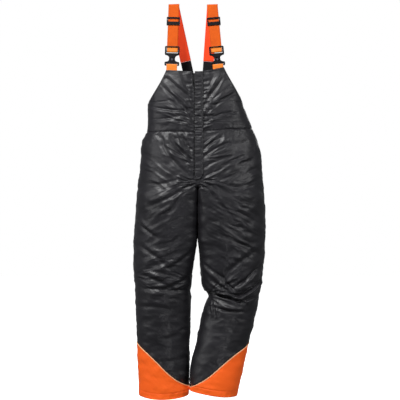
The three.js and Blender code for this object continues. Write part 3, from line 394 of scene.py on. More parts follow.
# Ripples that run side by side: middle (x, height), half size, direction in degrees, spacing, length, height.
RIPPLES = [
    ((38, -400), (34, 110), 14, 12, 50, 2.6),
    ((66, -512), (60, 50), 38, 15, 90, 2.3),
    ((150, -620), (90, 90), 30, 20, 140, 2.8),
    ((-150, -620), (80, 90), -34, 20, 140, 1.8),
    ((-28, -420), (30, 90), -22, 11, 40, 1.6),
    ((-24, -560), (26, 90), -36, 11, 40, 1.8),
    ((-100, -492), (95, 34), 112, 14, 60, 1.1),
    ((115, -482), (95, 20), 84, 17, 34, 0.6),
    ((-130, -900), (110, 130), 24, 24, 120, 2.2),
    ((130, -850), (115, 130), -26, 22, 130, 3.8),
    ((-130, -800), (100, 110), 28, 15, 90, 1.1),
    ((125, -780), (110, 110), -28, 15, 110, 2.6),
    ((-128, -1010), (105, 120), 4, 17, 100, 2.0),
    ((-128, -1190), (105, 90), 6, 24, 90, 1.5),
    ((130, -1180), (95, 90), -10, 24, 80, 1.4),
    ((-125, -1330), (100, 90), 10, 30, 80, 0.9),
    ((90, -1330), (100, 90), -14, 30, 80, 0.9),
    ((60, -1120), (30, 34), 82, 10, 40, 2.2),
]
FOLD_GAIN = 1.2  # how much deeper all these folds are made


def ridged(q, window, height, seed):
    """Folds from noise: a crest wherever the noise passes through zero."""
    out = np.zeros(window.shape)
    near = window > 0.01
    n = smooth_noise(q[near][None] + seed * 5.1, 1, seed)[0]
    finer = smooth_noise(q[near][None] * (2.1, 1.6, 1) + seed, 1, seed)[0]
    out[near] = FOLD_GAIN * height * window[near] * (0.62 - 2.3 * np.abs(n) + 0.3 - 1.1 * np.abs(finer))
    return out


def fold_field(x, z):
    """All the small folds of the front at points (x, z)."""
    total = np.zeros_like(x)
    warp = smooth_noise(np.stack([x / 60, z / 60, 0 * x], -1), 1, 4)
    for seed, ((px, pz), direction, spread, begin, end, folds, height) in enumerate(FANS):
        dx, dz = x - px, z - pz
        r = np.hypot(dx, dz)
        angle = (np.degrees(np.arctan2(dz, dx)) - direction + 180) % 360 - 180
        window = smooth(r, begin, begin + 30) * (1 - smooth(r, 0.6 * end, end))
        window = window * (1 - smooth(np.abs(angle), 0.6 * spread, spread))
        turn = np.radians(angle) * folds * 0.62 + 0.22 * warp
        total += ridged(np.stack([turn, np.log(r + 12) * 0.7, 0 * x], -1), window, height, seed)
    for seed, ((cx, cz), (wide, tall), direction, spacing, length, height) in enumerate(RIPPLES):
        dx, dz = x - cx, z - cz
        window = 1 - smooth(np.hypot(dx / wide, dz / tall), 0.5, 1)
        c, s = math.cos(math.radians(direction)), math.sin(math.radians(direction))
        along, across = c * dx + s * dz, -s * dx + c * dz + 7 * warp
        q = np.stack([along / length, across / (spacing * 1.15), 0 * x], -1)
        total += ridged(q, window, height, 31 + seed)
    return total


def puckers(along, distance, wavelength, fade_length, amount, seed):
    """Short ripples square to a seam, which die away from it."""
    q = np.stack([along / wavelength, distance / (wavelength * 3.2), np.full_like(along, seed * 7.7)], -1)
    ripple = smooth_noise(q, 1, seed)
    ripple = np.sign(ripple) * np.abs(ripple) ** 0.8
    fade = bell(distance, fade_length) * (1 - bell(distance, 4))
    return amount * 2.2 * ripple * fade


# ---- Cloth simulation ----
def seam_hold(face, points, u):
    """How firmly each grid point is held: seams and edges firmly, the open fabric loosely."""
    marks = row_marks(face)
    j = np.arange(points.shape[0])[:, None] + 0 * u[None]
    z = points[..., 2]
    girth = 340 if face == FRONT else 350
    hold = np.full(z.shape, 0.02)

    def seam(distance, strength, width=5):
        np.maximum(hold, strength * bell(distance, width), out=hold)

    row = 8
    seam(np.abs(j - marks[0]) * row, 0.95, 6)
    seam(np.abs(j - marks[2]) * row, 0.8)
    seam(np.abs(j - marks[3]) * row, 0.7)
    seam(np.abs(j - marks[4]) * row, 0.5)
    side = (1 - u[None]) * girth + 0 * z
    seam(np.where(z > Z_ARMHOLE, side, 99), 0.95, 6)
    seam(side, 0.35)
    centre = u[None] * girth + 0 * z
    seam(centre, 0.45)
    seam(np.where(z > Z_CROTCH - 170, centre, 99), 0.95, 9 if face == FRONT else 5)
    return hold


# Light nylon, which bends easily and hardly stretches.
CLOTH_SETTINGS = dict(
    quality=5, mass=0.25, air_damping=2, tension_stiffness=25, compression_stiffness=25,
    shear_stiffness=8, bending_stiffness=0.5, tension_damping=5, compression_damping=5,
    shear_damping=5, bending_damping=0.6, pin_stiffness=1, use_pressure=True, uniform_pressure_force=1.2,
)
SIM_FRAMES = 26
FARTHEST_MOVE = 0.016  # metres
WELD = 0.5  # points nearer than this are one point of the cloth


def cell_corners(index):
    """The four corners of each cell of a grid of point numbers."""
    return np.stack([index[:-1, :-1], index[1:, :-1], index[1:, 1:], index[:-1, 1:]], -1)


def loose_shape(target):
    """A shape a little larger than the space the fabric has, so that it must fold."""
    z = target[:, 2] / MM
    extra = 1.05 + 0.03 * bell(z - Z_KNEE - 20, 120) + 0.02 * bell(z - Z_CROTCH, 90)
    order = np.argsort(z)
    lengthened = np.empty_like(z)
    steps = np.diff(z[order], prepend=z[order][0])
    lengthened[order] = z[order][0] + np.cumsum(steps * extra[order])
    loose = target.copy()
    loose[:, :2] *= 1.03
    loose[:, 2] = lengthened * MM
    return loose


def simulate(panels):
    """Lets the loose fabric buckle between its seams and returns the moved panels."""
    flat = np.vstack([points.reshape(-1, 3) for points, _ in panels.values()])
    hold = np.concatenate([held.ravel() for _, held in panels.values()])
    places = np.round(flat / WELD).astype(int)
    _, first, inverse = np.unique(places, axis=0, return_index=True, return_inverse=True)
    inverse = inverse.ravel()
    faces, numbers, start = [], {}, 0
    for (side, face), (points, _) in panels.items():
        rows, columns = points.shape[:2]
        index = inverse[start : start + rows * columns].reshape(rows, columns)
        quads = cell_corners(index).reshape(-1, 4)
        faces.append(quads if parity(side, face) > 0 else quads[:, ::-1])
        numbers[side, face] = index
        start += rows * columns
    quads = [tuple(dict.fromkeys(q)) for q in np.vstack(faces).tolist()]
    quads = [q for q in quads if len(q) > 2]
    target = flat[first] * MM
    group = np.zeros(len(first))
    np.maximum.at(group, inverse, hold)

    mesh = bpy.data.meshes.new("cloth_work")
    mesh.from_pydata(target.tolist(), [], quads)
    work = bpy.data.objects.new("cloth_work", mesh)
    scene.collection.objects.link(work)
    work.shape_key_add(name="Basis")
    key = work.shape_key_add(name="loose")
    key.data.foreach_set("co", loose_shape(target).ravel())
    key.value = 0
    pins = work.vertex_groups.new(name="hold")
    for i, w in enumerate(group):
        pins.add([i], float(w), "REPLACE")
    cloth = work.modifiers.new("cloth", "CLOTH")
    for setting, value in CLOTH_SETTINGS.items():
        setattr(cloth.settings, setting, value)
    cloth.settings.vertex_group_mass = "hold"
    cloth.settings.rest_shape_key = key
    cloth.settings.effector_weights.gravity = 0
    cloth.collision_settings.use_collision = False
    cloth.collision_settings.use_self_collision = False
    cloth.point_cache.frame_start, cloth.point_cache.frame_end = 1, 60
    for f in range(1, SIM_FRAMES + 1):
        scene.frame_set(f)
    done = work.evaluated_get(bpy.context.evaluated_depsgraph_get())
    co = np.empty(len(done.data.vertices) * 3)
    done.data.vertices.foreach_get("co", co)
    moved = co.reshape(-1, 3) - target
    length = np.linalg.norm(moved, axis=1, keepdims=True)
    moved *= np.minimum(1, FARTHEST_MOVE / np.maximum(length, 1e-9))
    bpy.data.objects.remove(work)
    bpy.data.meshes.remove(mesh)
    scene.frame_set(1)
    return {k: points + moved[numbers[k]] / MM for k, (points, _) in panels.items()}


def twice(points, axes=(0, 1)):
    """The same surface with a point added between each two, along smooth curves."""
    for axis in axes:
        p = np.moveaxis(points, axis, 0)
        before = np.concatenate([2 * p[:1] - p[1:2], p])
        padded = np.concatenate([before, 2 * p[-1:] - p[-2:-1]])
        middle = (-padded[:-3] + 9 * padded[1:-2] + 9 * padded[2:-1] - padded[3:]) / 16
        out = np.empty((2 * len(p) - 1,) + p.shape[1:])
        out[0::2], out[1::2] = p, middle
        points = np.moveaxis(out, 0, axis)
    return points


# ---- Mesh building ----
def make_object(name, verts, faces, material, uv=None):
    """verts in millimetres; uv is one pair for each vertex, in metres along the fabric."""
    mesh = bpy.data.meshes.new(name)
    mesh.from_pydata((np.asarray(verts, float) * MM).tolist(), [], faces)
    mesh.polygons.foreach_set("use_smooth", [True] * len(mesh.polygons))
    if uv is not None:
        layer = mesh.uv_layers.new(name="fabric")
        corner = np.empty(len(mesh.loops), int)
        mesh.loops.foreach_get("vertex_index", corner)
        layer.data.foreach_set("uv", np.asarray(uv, float)[corner].ravel())
    mesh.materials.append(material)
    mesh.update()
    thing = bpy.data.objects.new(name, mesh)
    scene.collection.objects.link(thing)
    return thing


def fabric_uv(points):
    across = np.linalg.norm(np.diff(points, axis=1), axis=-1)
    down = np.linalg.norm(np.diff(points, axis=0), axis=-1)
    u = np.concatenate([np.zeros((len(points), 1)), np.cumsum(across, 1)], 1)
    v = np.concatenate([np.zeros((1, points.shape[1])), np.cumsum(down, 0)], 0)
    return np.stack([u, v], -1) * MM


def sheet_object(name, points, sign, material, thickness=SHELL, turned=None):
    """A sheet from a grid of points on its outer face, with closed edges and a back face.

    turned is the number of cells of back face kept along each edge, as in a turned and sewn edge;
    without it the whole back face is made.
    """
    n, m = points.shape[:2]
    inner = points - normals(points, sign) * thickness
    verts = np.concatenate([points.reshape(-1, 3), inner.reshape(-1, 3)])
    uv = fabric_uv(points).reshape(-1, 2)
    uv = np.concatenate([uv, uv])
    index = np.arange(n * m).reshape(n, m)
    cells = cell_corners(index)
    front, back = cells.reshape(-1, 4), cells[..., ::-1] + n * m
    if turned is not None:
        keep = np.ones((n - 1, m - 1), bool)
        keep[2 * turned : -2 * turned, turned:-turned] = False
        back = back[keep]
    rim = np.concatenate([index[:-1, 0], index[-1, :-1], index[:0:-1, -1], index[0, :0:-1]])
    ahead = np.roll(rim, -1)
    wall = np.stack([rim, rim + n * m, ahead + n * m, ahead], -1)
    faces = np.concatenate([front, back.reshape(-1, 4), wall])
    if sign < 0:
        faces = faces[:, ::-1]
    used, faces = np.unique(faces, return_inverse=True)
    return make_object(name, verts[used], faces.reshape(-1, 4).tolist(), material, uv[used])


def tube_object(name, rings, material, closed=False, uv=None):
    """rings is an array (stations, corners, 3); each ring is closed."""
    rings = np.asarray(rings, float)
    n, m = rings.shape[:2]
    index = np.arange(n * m).reshape(n, m)
    a, b = index, np.roll(index, -1, 1)
    c, d = np.roll(b, -1, 0), np.roll(a, -1, 0)
    quads = np.stack([a, b, c, d], -1)
    quads = (quads if closed else quads[:-1]).reshape(-1, 4).tolist()
    if not closed:
        quads += [index[0, ::-1].tolist(), index[-1].tolist()]
    return make_object(name, rings.reshape(-1, 3), quads, material, uv)


# The rings of one stitch: place along it, share of the thread's thickness, height.
STITCH_RINGS = ((-0.5, 0.35, -0.3), (-0.25, 1, 0.6), (0.25, 1, 0.6), (0.5, 0.35, -0.3))
STITCH, STITCH_GAP, THREAD_THICK, THREAD_LIFT = 3.0, 1.3, 0.42, 0.15
THREAD_CORNERS = 5


def stitches(name, line, normal, thread, body="trousers"):
    """A row of sewn stitches along a line on the fabric."""
    line = np.asarray(line, float)
    run = run_along(line)
    count = int(run[-1] / (STITCH + STITCH_GAP))
    along, size, up = np.array(STITCH_RINGS).T
    at = (np.arange(count)[:, None] + 0.5) * (STITCH + STITCH_GAP) + along * STITCH
    here = values_at(run, line, at)
    out = unit(values_at(run, np.broadcast_to(normal, line.shape), at))
    wide = np.cross(unit(values_at(run, line, at + 0.4) - here), out)
    middles = here + out * (THREAD_LIFT + up * THREAD_THICK)[:, None]
    angles = (np.arange(THREAD_CORNERS) * math.tau / THREAD_CORNERS)[:, None]
    ring = np.cos(angles) * wide[..., None, :] + np.sin(angles) * out[..., None, :]
    verts = middles[..., None, :] + (THREAD_THICK * size)[:, None, None] * ring
    index = np.arange(verts.size // 3).reshape(verts.shape[:-1])
    a, b = index[:, :-1], np.roll(index, -1, 2)[:, :-1]
    faces = np.stack([a, b, b + THREAD_CORNERS, a + THREAD_CORNERS], -1).reshape(-1, 4).tolist()
    faces += index[:, 0, ::-1].tolist() + index[:, -1].tolist()
    thing = make_object(name, verts.reshape(-1, 3), faces, thread)
    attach(thing, body)


def stand_in(piece, node, body="trousers"):
    """Lets a piece ride a body and take the place of a CAD node."""
    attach(piece, body)
    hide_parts(node)


# ---- Materials ----
def material(name, base, rough, **sockets):
    made = bpy.data.materials.new(name)
    made.use_nodes = True
    shader = made.node_tree.nodes["Principled BSDF"]
    shader.inputs["Base Color"].default_value = (*base, 1)
    shader.inputs["Roughness"].default_value = rough
    for key, value in sockets.items():
        shader.inputs[key.replace("_", " ")].default_value = value
    return made


class Nodes:
    """Short forms for building a material's nodes."""

    def __init__(self, made):
        self.tree = made.node_tree
        self.shader = self.tree.nodes["Principled BSDF"]

    def put(self, value, socket):
        """Gives an input a value, or another node's output."""
        if hasattr(value, "is_output"):
            self.tree.links.new(value, socket)
        else:
            socket.default_value = value

    def link(self, output, name):
        self.put(output, self.shader.inputs[name])

    def add(self, kind, **inputs):
        node = self.tree.nodes.new(kind)
        for key, value in inputs.items():
            self.put(value, node.inputs[key.replace("_", " ")])
        return node

    def math(self, operation, *values):
        node = self.tree.nodes.new("ShaderNodeMath")
        node.operation = operation
        for value, socket in zip(values, node.inputs):
            self.put(value, socket)
        return node.outputs[0]

    def noise(self, vector, scale, detail=3.0, rough=0.5):
        node = self.add("ShaderNodeTexNoise", Vector=vector, Scale=scale, Detail=detail, Roughness=rough)
        return node.outputs["Fac"]

    def scaled(self, vector, scale):
        return self.add("ShaderNodeMapping", Vector=vector, Scale=scale).outputs[0]

    def coordinates(self, kind):
        return self.tree.nodes.new("ShaderNodeTexCoord").outputs[kind]

    def waves(self, vector, axis, per_metre):
        """A sine between 0 and 1 along one axis of the coordinates."""
        split = self.add("ShaderNodeSeparateXYZ", Vector=vector)
        turn = self.math("MULTIPLY", split.outputs[axis], per_metre * math.tau)
        return self.math("MULTIPLY_ADD", self.math("SINE", turn), 0.5, 0.5)

    def ramp(self, value, low_at, low, high_at, high):
        """A colour between two, for a value between two."""
        node = self.add("ShaderNodeValToRGB", Fac=value)
        for element, at, colour in zip(node.color_ramp.elements, (low_at, high_at), (low, high)):
            element.position = at
            element.color = (*colour, 1)
        return node.outputs["Color"]

    def bump(self, height, distance, strength, below=None):
        node = self.add("ShaderNodeBump", Height=height, Distance=distance, Strength=strength)
        if below is not None:
            self.put(below, node.inputs["Normal"])
        return node.outputs["Normal"]


def woven(name, low, high, rough, rough_spread, crinkle, **sockets):
    """Smooth dense nylon: fine diagonal weave, light crinkles and slight changes of shade."""
    made = material(name, high, rough, **sockets)
    n = Nodes(made)
    place, cloth = n.coordinates("Object"), n.coordinates("UV")
    shade = n.noise(place, 9, 4, 0.6)
    thread, cross = n.waves(cloth, "X", 900), n.waves(cloth, "Y", 760)
    weave = n.math("MULTIPLY", thread, cross)
    mixed = n.math("ADD", n.math("MULTIPLY", shade, 0.8), n.math("MULTIPLY", weave, 0.2))
    n.link(n.ramp(mixed, 0.3, low, 0.72, high), "Base Color")
    fine = n.noise(cloth, 160, 3, 0.6)
    n.link(n.math("MULTIPLY_ADD", fine, rough_spread, rough - rough_spread / 2), "Roughness")
    folds = n.bump(n.noise(n.scaled(place, (1, 1, 2.2)), 30, 4, 0.55), 0.0022, crinkle)
    small = n.bump(n.noise(n.scaled(place, (1, 1, 2.6)), 95, 3, 0.6), 0.0007, crinkle, folds)
    n.link(n.bump(weave, 0.00006, 0.5, small), "Normal")
    return made


def glowing(made, colour, strength):
    """A material that also gives off light of its own, though it is no lamp: painted light on the garment's
    orange parts, an even white on the floor.
    """
    shader = made.node_tree.nodes["Principled BSDF"]
    shader.inputs["Emission Color"].default_value = (*colour, 1)
    shader.inputs["Emission Strength"].default_value = strength
    return made


def webbing_material(name, low, high):
    """Flat narrow webbing: ribs across, lengthwise cords, darker towards both edges."""
    made = material(name, high, 0.7, Sheen_Weight=0.02, Sheen_Roughness=0.4, Specular_IOR_Level=0.15)
    n = Nodes(made)
    cloth, place = n.coordinates("UV"), n.coordinates("Object")
    rib = n.waves(cloth, "Y", 620)
    cord = n.waves(cloth, "X", 330)
    weave = n.math("ADD", n.math("MULTIPLY", rib, 0.6), n.math("MULTIPLY", cord, 0.4))
    soft = n.noise(place, 30, 4, 0.6)
    mixed = n.math("ADD", n.math("MULTIPLY", weave, 0.45), n.math("MULTIPLY", soft, 0.55))
    # Darker towards both edges of the webbing.
    from_middle = n.math("ABSOLUTE", n.add("ShaderNodeSeparateXYZ", Vector=cloth).outputs["X"])
    mixed = n.math("SUBTRACT", mixed, n.math("MAXIMUM", n.math("MULTIPLY_ADD", from_middle, 110, -1.76), 0))
    n.link(n.ramp(mixed, 0.25, low, 0.7, high), "Base Color")
    n.link(n.math("MULTIPLY_ADD", weave, 0.12, 0.62), "Roughness")
    n.link(n.bump(weave, 0.0003, 0.6, n.bump(soft, 0.0012, 0.35)), "Normal")
    return made


def plastic_material(name, base, rough):
    made = material(name, base, rough, Specular_IOR_Level=0.1)
    n = Nodes(made)
    place = n.coordinates("Object")
    grain = n.noise(place, 2400, 2, 0.5)
    scuff = n.noise(place, 120, 5, 0.65)
    light = tuple(min(1, c * 1.9 + 0.004) for c in base)
    n.link(n.ramp(scuff, 0.45, base, 0.85, light), "Base Color")
    n.link(n.math("MULTIPLY_ADD", scuff, 0.22, rough - 0.11), "Roughness")
    n.link(n.bump(grain, 0.00005, 0.5), "Normal")
    return made


def metal_material(name, base, rough):
    made = material(name, base, rough, Metallic=1.0)
    n = Nodes(made)
    place = n.coordinates("Object")
    wear = n.noise(place, 300, 4, 0.6)
    n.link(n.ramp(wear, 0.3, [c * 0.55 for c in base], 0.75, base), "Base Color")
    n.link(n.math("MULTIPLY_ADD", wear, 0.25, rough - 0.1), "Roughness")
    n.link(n.bump(n.noise(place, 1500, 2, 0.5), 0.00004, 0.5), "Normal")
    return made


black = woven("nylon_black", (0.0094, 0.0088, 0.0112), (0.0168, 0.0158, 0.0198), 0.45, 0.1, 0.34,
              Sheen_Weight=0.04, Sheen_Roughness=0.4, Specular_IOR_Level=0.5)
orange = woven("nylon_orange", (0.86, 0.104, 0.006), (0.96, 0.135, 0.01), 0.6, 0.1, 0.35,
               Sheen_Weight=0.03, Sheen_Roughness=0.4, Specular_IOR_Level=0.3)
webbing = webbing_material("webbing_orange", (0.58, 0.078, 0.003), (0.8, 0.125, 0.006))
# The webbing's inside face: a redder orange as painted shade.
webbing_inside_painted_shade = webbing_material("webbing_orange_inside_painted_shade", (0.78, 0.045, 0.008), (0.9, 0.075, 0.014))
# Webbing painted lighter, as painted light.
webbing_painted_light = webbing_material("webbing_orange_painted_light", (0.86, 0.2, 0.02), (0.96, 0.3, 0.045))
elastic = webbing_material("elastic_black", (0.006, 0.006, 0.007), (0.016, 0.015, 0.018))
lining = woven("lining_dark", (0.008, 0.008, 0.009), (0.014, 0.014, 0.016), 0.7, 0.1, 0.8)
# The cuff fabric's glow is painted light.
glowing(orange, (1, 0.14, 0.015), 0.2)
# The webbing's inside face also glows, as painted light.
glowing(webbing_inside_painted_shade, (1, 0.08, 0.03), 0.36)
padding = woven("cut_pad_fibre", (0.55, 0.52, 0.43), (0.68, 0.65, 0.55), 0.9, 0.08, 1.5)
piping = woven("piping_pale", (0.9, 0.42, 0.2), (1.0, 0.56, 0.3), 0.5, 0.08, 0.2)
# The piping's glow is painted light, a painted highlight along the cuff seam.
glowing(piping, (1, 0.5, 0.25), 0.18)
plastic = plastic_material("acetal_black", (0.0045, 0.0042, 0.006), 0.4)
plastic_soft = plastic_material("acetal_button", (0.055, 0.053, 0.07), 0.42)
zinc = metal_material("zip_zinc", (0.25, 0.25, 0.26), 0.4)
tape = woven("zip_tape_dark", (0.008, 0.008, 0.009), (0.014, 0.014, 0.016), 0.75, 0.1, 0.3)
thread_black = woven("thread_black", (0.01, 0.01, 0.011), (0.02, 0.02, 0.022), 0.55, 0.05, 0.1)
thread_orange = woven("thread_orange", (0.7, 0.13, 0.03), (0.85, 0.2, 0.05), 0.6, 0.05, 0.1)


# ---- The garment's shell ----
ROW_FACTOR, COLUMN_FACTOR = 4, 2  # how much finer the shell's grid is than the simulated one
FACES = ((FRONT, "front"), (BACK, "back"))

coarse = {}
for side, _ in SIDE_NAMES:
    for face, _ in FACES:
        points, u = grid(side, face)
        hold = seam_hold(face, points, u)
        soft = smooth_noise(points, (55, 55, 30), 3) * 3.0 + smooth_noise(points, (26, 26, 15), 5) * 1.2
        soft *= lerp(1, 0.6, smooth(points[..., 2], Z_WAIST - 30, Z_WAIST + 20))
        room = np.clip(1.08 - hold, 0, 0.8) / 0.8
        coarse[side, face] = (points + normals(points, parity(side, face)) * (soft * room)[..., None], hold)

panels = simulate(coarse)
bases = {}
fine = {}
sink = {}
for (side, face), points in panels.items():
    dense = twice(twice(points), (0,))
    sign = parity(side, face)
    x, z = dense[..., 0], dense[..., 2]
    marks = row_marks(face) * ROW_FACTOR
    base, _ = grid(side, face, ROW_FACTOR, COLUMN_FACTOR)
    # Distances over the fabric: across from the centre line, and down from the top edge.
    across, down = np.moveaxis(fabric_uv(base) / MM, -1, 0)
    from_waist = np.abs(down - down[marks[2]][None])
    from_cuff = np.abs(down - down[marks[3]][None])
    from_hem = np.abs(down[-1:] - down)
    from_side = np.abs(across - across[:, -1:])
    lift = np.zeros_like(z)
    lift += puckers(across, from_waist, 13, 20, 0.8, 11 + side)
    lift += puckers(across, from_cuff, 16, 18, 0.8, 23 + side)
    lift += puckers(across, from_hem, 15, 30, 0.7, 29 + side)
    lift += puckers(across, down, 15, 16, 0.6, 31 + side)
    lift += puckers(down, from_side, 16, 26, 0.7, 41 + side)
    if face == FRONT:
        near_zip = np.where(z > Z_CROTCH, across, 200)
        lift += puckers(down, near_zip, 12, 30, 1.5 if side == LEFT else 1.2, 53 + side)
        details = crease_depth(x, z) + fold_field(x, z)
    else:
        lift += puckers(down, across, 16, 24, 1.4, 61 + side)
        details = fold_field(x * 0.93 + 3, z) * 0.75
    on_leg = (z < Z_WAIST) & (down < down[marks[3]][None])
    details = details * np.where(on_leg | (z > Z_WAIST - 20), 1, 0.2)
    # Folds flatten where they meet a seam or an edge.
    flat = (1 - bell(from_waist, 7)) * (1 - bell(down, 9)) * (1 - 0.75 * bell(from_side, 14))
    lift += details * flat * (1 - 0.8 * bell(from_cuff, 10)) * (1 - 0.85 * bell(across, 9))
    for distance, deep, width in ((from_waist, 2.4, 4.0), (from_cuff, 1.6, 4.0), (from_hem - 22, 1.6, 2.0)):
        lift -= deep * bell(distance, width)
    lift -= 1.2 * bell(from_side, 3.5) * (z < Z_ARMHOLE)
    shaped = dense + normals(dense, sign) * lift[..., None]
    # The two halves meet on the centre plane above the knees and never cross it.
    together = (z > Z_CROTCH - 150) & ((face == BACK) | (z < Z_FLY))
    bound = side * shaped[..., 0]
    nearest = np.full_like(z, -400)
    if face == FRONT and side == LEFT:
        nearest = np.where(z > Z_FLY + 8, ZIP_HALF_GAP + SHELL, 0)
    nearest = np.where(together, 0, nearest)
    shaped[..., 0] = side * np.where(z > Z_CROTCH - 150, np.maximum(bound, nearest), bound)
    shaped[together[:, 0], 0, 0] = 0
    bases[side, face] = base
    fine[side, face] = shaped
    sink[side, face] = ((base - shaped) * normals(base, sign)).sum(-1)


def join_edges(side, mark, column, top):
    """Front and back share the line down one edge, from a row down, where it is below a height."""
    a, b = (fine[side, face][row_marks(face)[mark] * ROW_FACTOR :, column] for face in (FRONT, BACK))
    below = a[:, 2] < top
    middle = (a[below] + b[below]) / 2
    a[below], b[below] = middle, middle


def part_rows(face, first, last):
    marks = row_marks(face) * ROW_FACTOR
    return slice(marks[first], marks[last] + 1)


shell = {}
for side, word in SIDE_NAMES:
    join_edges(side, 1, -1, math.inf)
    join_edges(side, 2, 0, Z_CROTCH)
    for face, where in FACES:
        name, cut = f"leg_{where}_{word}", fine[side, face][part_rows(face, 2, 3)]
        shell[name] = sheet_object(f"{name}_cloth", cut, parity(side, face), black, turned=3)
    name, cut = f"bib_front_{word}", fine[side, FRONT][part_rows(FRONT, 0, 2)]
    shell[name] = sheet_object(f"{name}_cloth", cut, parity(side, FRONT), black)
    front, back = (fine[side, face][part_rows(face, 3, 4)] for face, _ in FACES)
    round_leg = np.concatenate([front, back[:, -2::-1]], 1)
    cuff_cloth = sheet_object(f"hem_cuff_{word}_cloth", round_leg, parity(side, FRONT), orange)
    stand_in(cuff_cloth, f"hem_cuff_{word}")
right, left = (fine[side, BACK][part_rows(BACK, 0, 2)] for side, _ in SIDE_NAMES)
whole_back = np.concatenate([right[:, :0:-1], left], 1)
shell["bib_back"] = sheet_object("bib_back_cloth", whole_back, parity(LEFT, BACK), black)
for node, cloth in shell.items():
    stand_in(cloth, node)


# ---- Piping, hems and stitch lines ----
PIPING_RADIUS, PIPING_CORNERS = 1.7, 8
ON_CLOTH = 0.1  # how far a stitch line lies off the cloth
# Stitch lines: label, the seam or edge (as a mark), distance from it, direction and thread.
SEWN_ROWS = (
    ("cuff", 3, 5, -1, thread_black),
    ("hem", 4, 22, -1, thread_orange),
    ("waist", 2, 4, -1, thread_black),
    ("top", 0, 5, 1, thread_black),
    ("top_low", 0, 16, 1, thread_black),
)


def round_leg_line(side, row):
    """A line round the leg at a row counted from the hem, and its outward directions."""
    a, b = fine[side, FRONT], fine[side, BACK]
    na, nb = normals(a, parity(side, FRONT)), normals(b, parity(side, BACK))
    line = np.concatenate([a[-1 - row], b[-1 - row][-2:0:-1]])
    return line, np.concatenate([na[-1 - row], nb[-1 - row][-2:0:-1]])


def line_beside_row(points, out, row, distance, direction):
    """A line over the fabric at a distance from a row, with its outward directions."""
    stretch, facing = points[row::direction], out[row::direction]
    run = np.cumsum(np.linalg.norm(np.diff(stretch, axis=0), axis=-1), axis=0)
    k = np.minimum((run < distance).sum(0), len(stretch) - 1)
    columns = np.arange(points.shape[1])
    return stretch[k, columns] + facing[k, columns] * ON_CLOTH, facing[k, columns]


for side, word in SIDE_NAMES:
    line, out = round_leg_line(side, ROWS[FRONT][3] * ROW_FACTOR)
    line = line + out * 1.5
    wide = np.cross(unit(np.roll(line, -1, 0) - np.roll(line, 1, 0)), out)
    angles = (np.arange(PIPING_CORNERS) * math.tau / PIPING_CORNERS)[:, None]
    ring = np.cos(angles) * out[:, None] + np.sin(angles) * wide[:, None]
    rings = line[:, None] + PIPING_RADIUS * ring
    cord = tube_object(f"cuff_piping_{word}_cord", rings, piping, closed=True)
    stand_in(cord, f"cuff_piping_{word}")
    for face, where in FACES:
        points = fine[side, face]
        out = normals(points, parity(side, face))
        marks = row_marks(face) * ROW_FACTOR
        for label, mark, distance, direction, thread in SEWN_ROWS:
            line, facing = line_beside_row(points, out, marks[mark], distance, direction)
            stitches(f"stitch_{label}_{where}_{word}", line[2:-2], facing[2:-2], thread)
        edge = slice(4, marks[1]), -3
        line = points[edge] + out[edge] * ON_CLOTH
        stitches(f"stitch_armhole_{where}_{word}", line, out[edge], thread_black)
    seat = slice(8, marks[2] + 140), 2
    stitches(f"stitch_seat_{word}", points[seat] + out[seat] * ON_CLOTH, out[seat], thread_black)


# ---- Inside: pads and lining ----
LINING_STEP, PAD_STEP = (8, 4), (4, 4)  # rows and columns of the shell for each one inside
LINING_THICK, PAD_THICK = 0.8, 6
LINING_GAP, PAD_GAP, ROOM_FOR_PAD = 3.6, 2.6, 9.0
QUILT_DEPTH, QUILT_COLUMNS = 0.7, 4


def under_shell(side, face, step):
    """A coarser grid of the shell: points, outward directions and how deep the folds reach there."""
    padded = np.pad(sink[side, face], [(n, n) for n in step], mode="edge")
    windows = np.lib.stride_tricks.sliding_window_view(padded, [2 * n + 1 for n in step])
    deepest = np.maximum(windows[:: step[0], :: step[1]].max((-1, -2)), 0)
    points = bases[side, face][:: step[0], :: step[1]]
    return points, normals(points, parity(side, face)), deepest


for side, word in SIDE_NAMES:
    for face, where in FACES:
        points, out, deepest = under_shell(side, face, LINING_STEP)
        gap = deepest + LINING_GAP + 0.8 * smooth_noise(points, (40, 40, 70), 9)
        first = 2
        if face == FRONT:
            u = np.linspace(0, 1, points.shape[1])[None]
            within_edges = np.clip(np.minimum(u, 1 - u) / 0.06, 0, 1)
            gap += ROOM_FOR_PAD * within_edges * smooth(-points[..., 2], -Z_WAIST + 10, -Z_WAIST + 60)
            first = 3
        inner = points - out * gap[..., None]
        if face == FRONT:
            clear = np.where(points[..., 2] > Z_FLY, ZIP_HALF_GAP + SHELL, -400)
            inner[..., 0] = side * np.maximum(side * inner[..., 0], clear)
        inner, name = inner[first:-2], f"lining_{where}_{word}"
        piece = sheet_object(f"{name}_cloth", inner, parity(side, face), lining, LINING_THICK)
        stand_in(piece, name)
    points, out, deepest = under_shell(side, FRONT, PAD_STEP)
    marks = row_marks(FRONT)
    block = slice(marks[2] + 6, marks[3] - 2), slice(2, -2)
    quilt = QUILT_DEPTH * np.cos(np.arange(points.shape[1])[None] * math.tau / QUILT_COLUMNS)
    points = points - out * (deepest + PAD_GAP - quilt)[..., None]
    pad = sheet_object(f"cut_pad_{word}_fibre", points[block], parity(side, FRONT), padding, PAD_THICK)
    stand_in(pad, f"cut_pad_{word}")


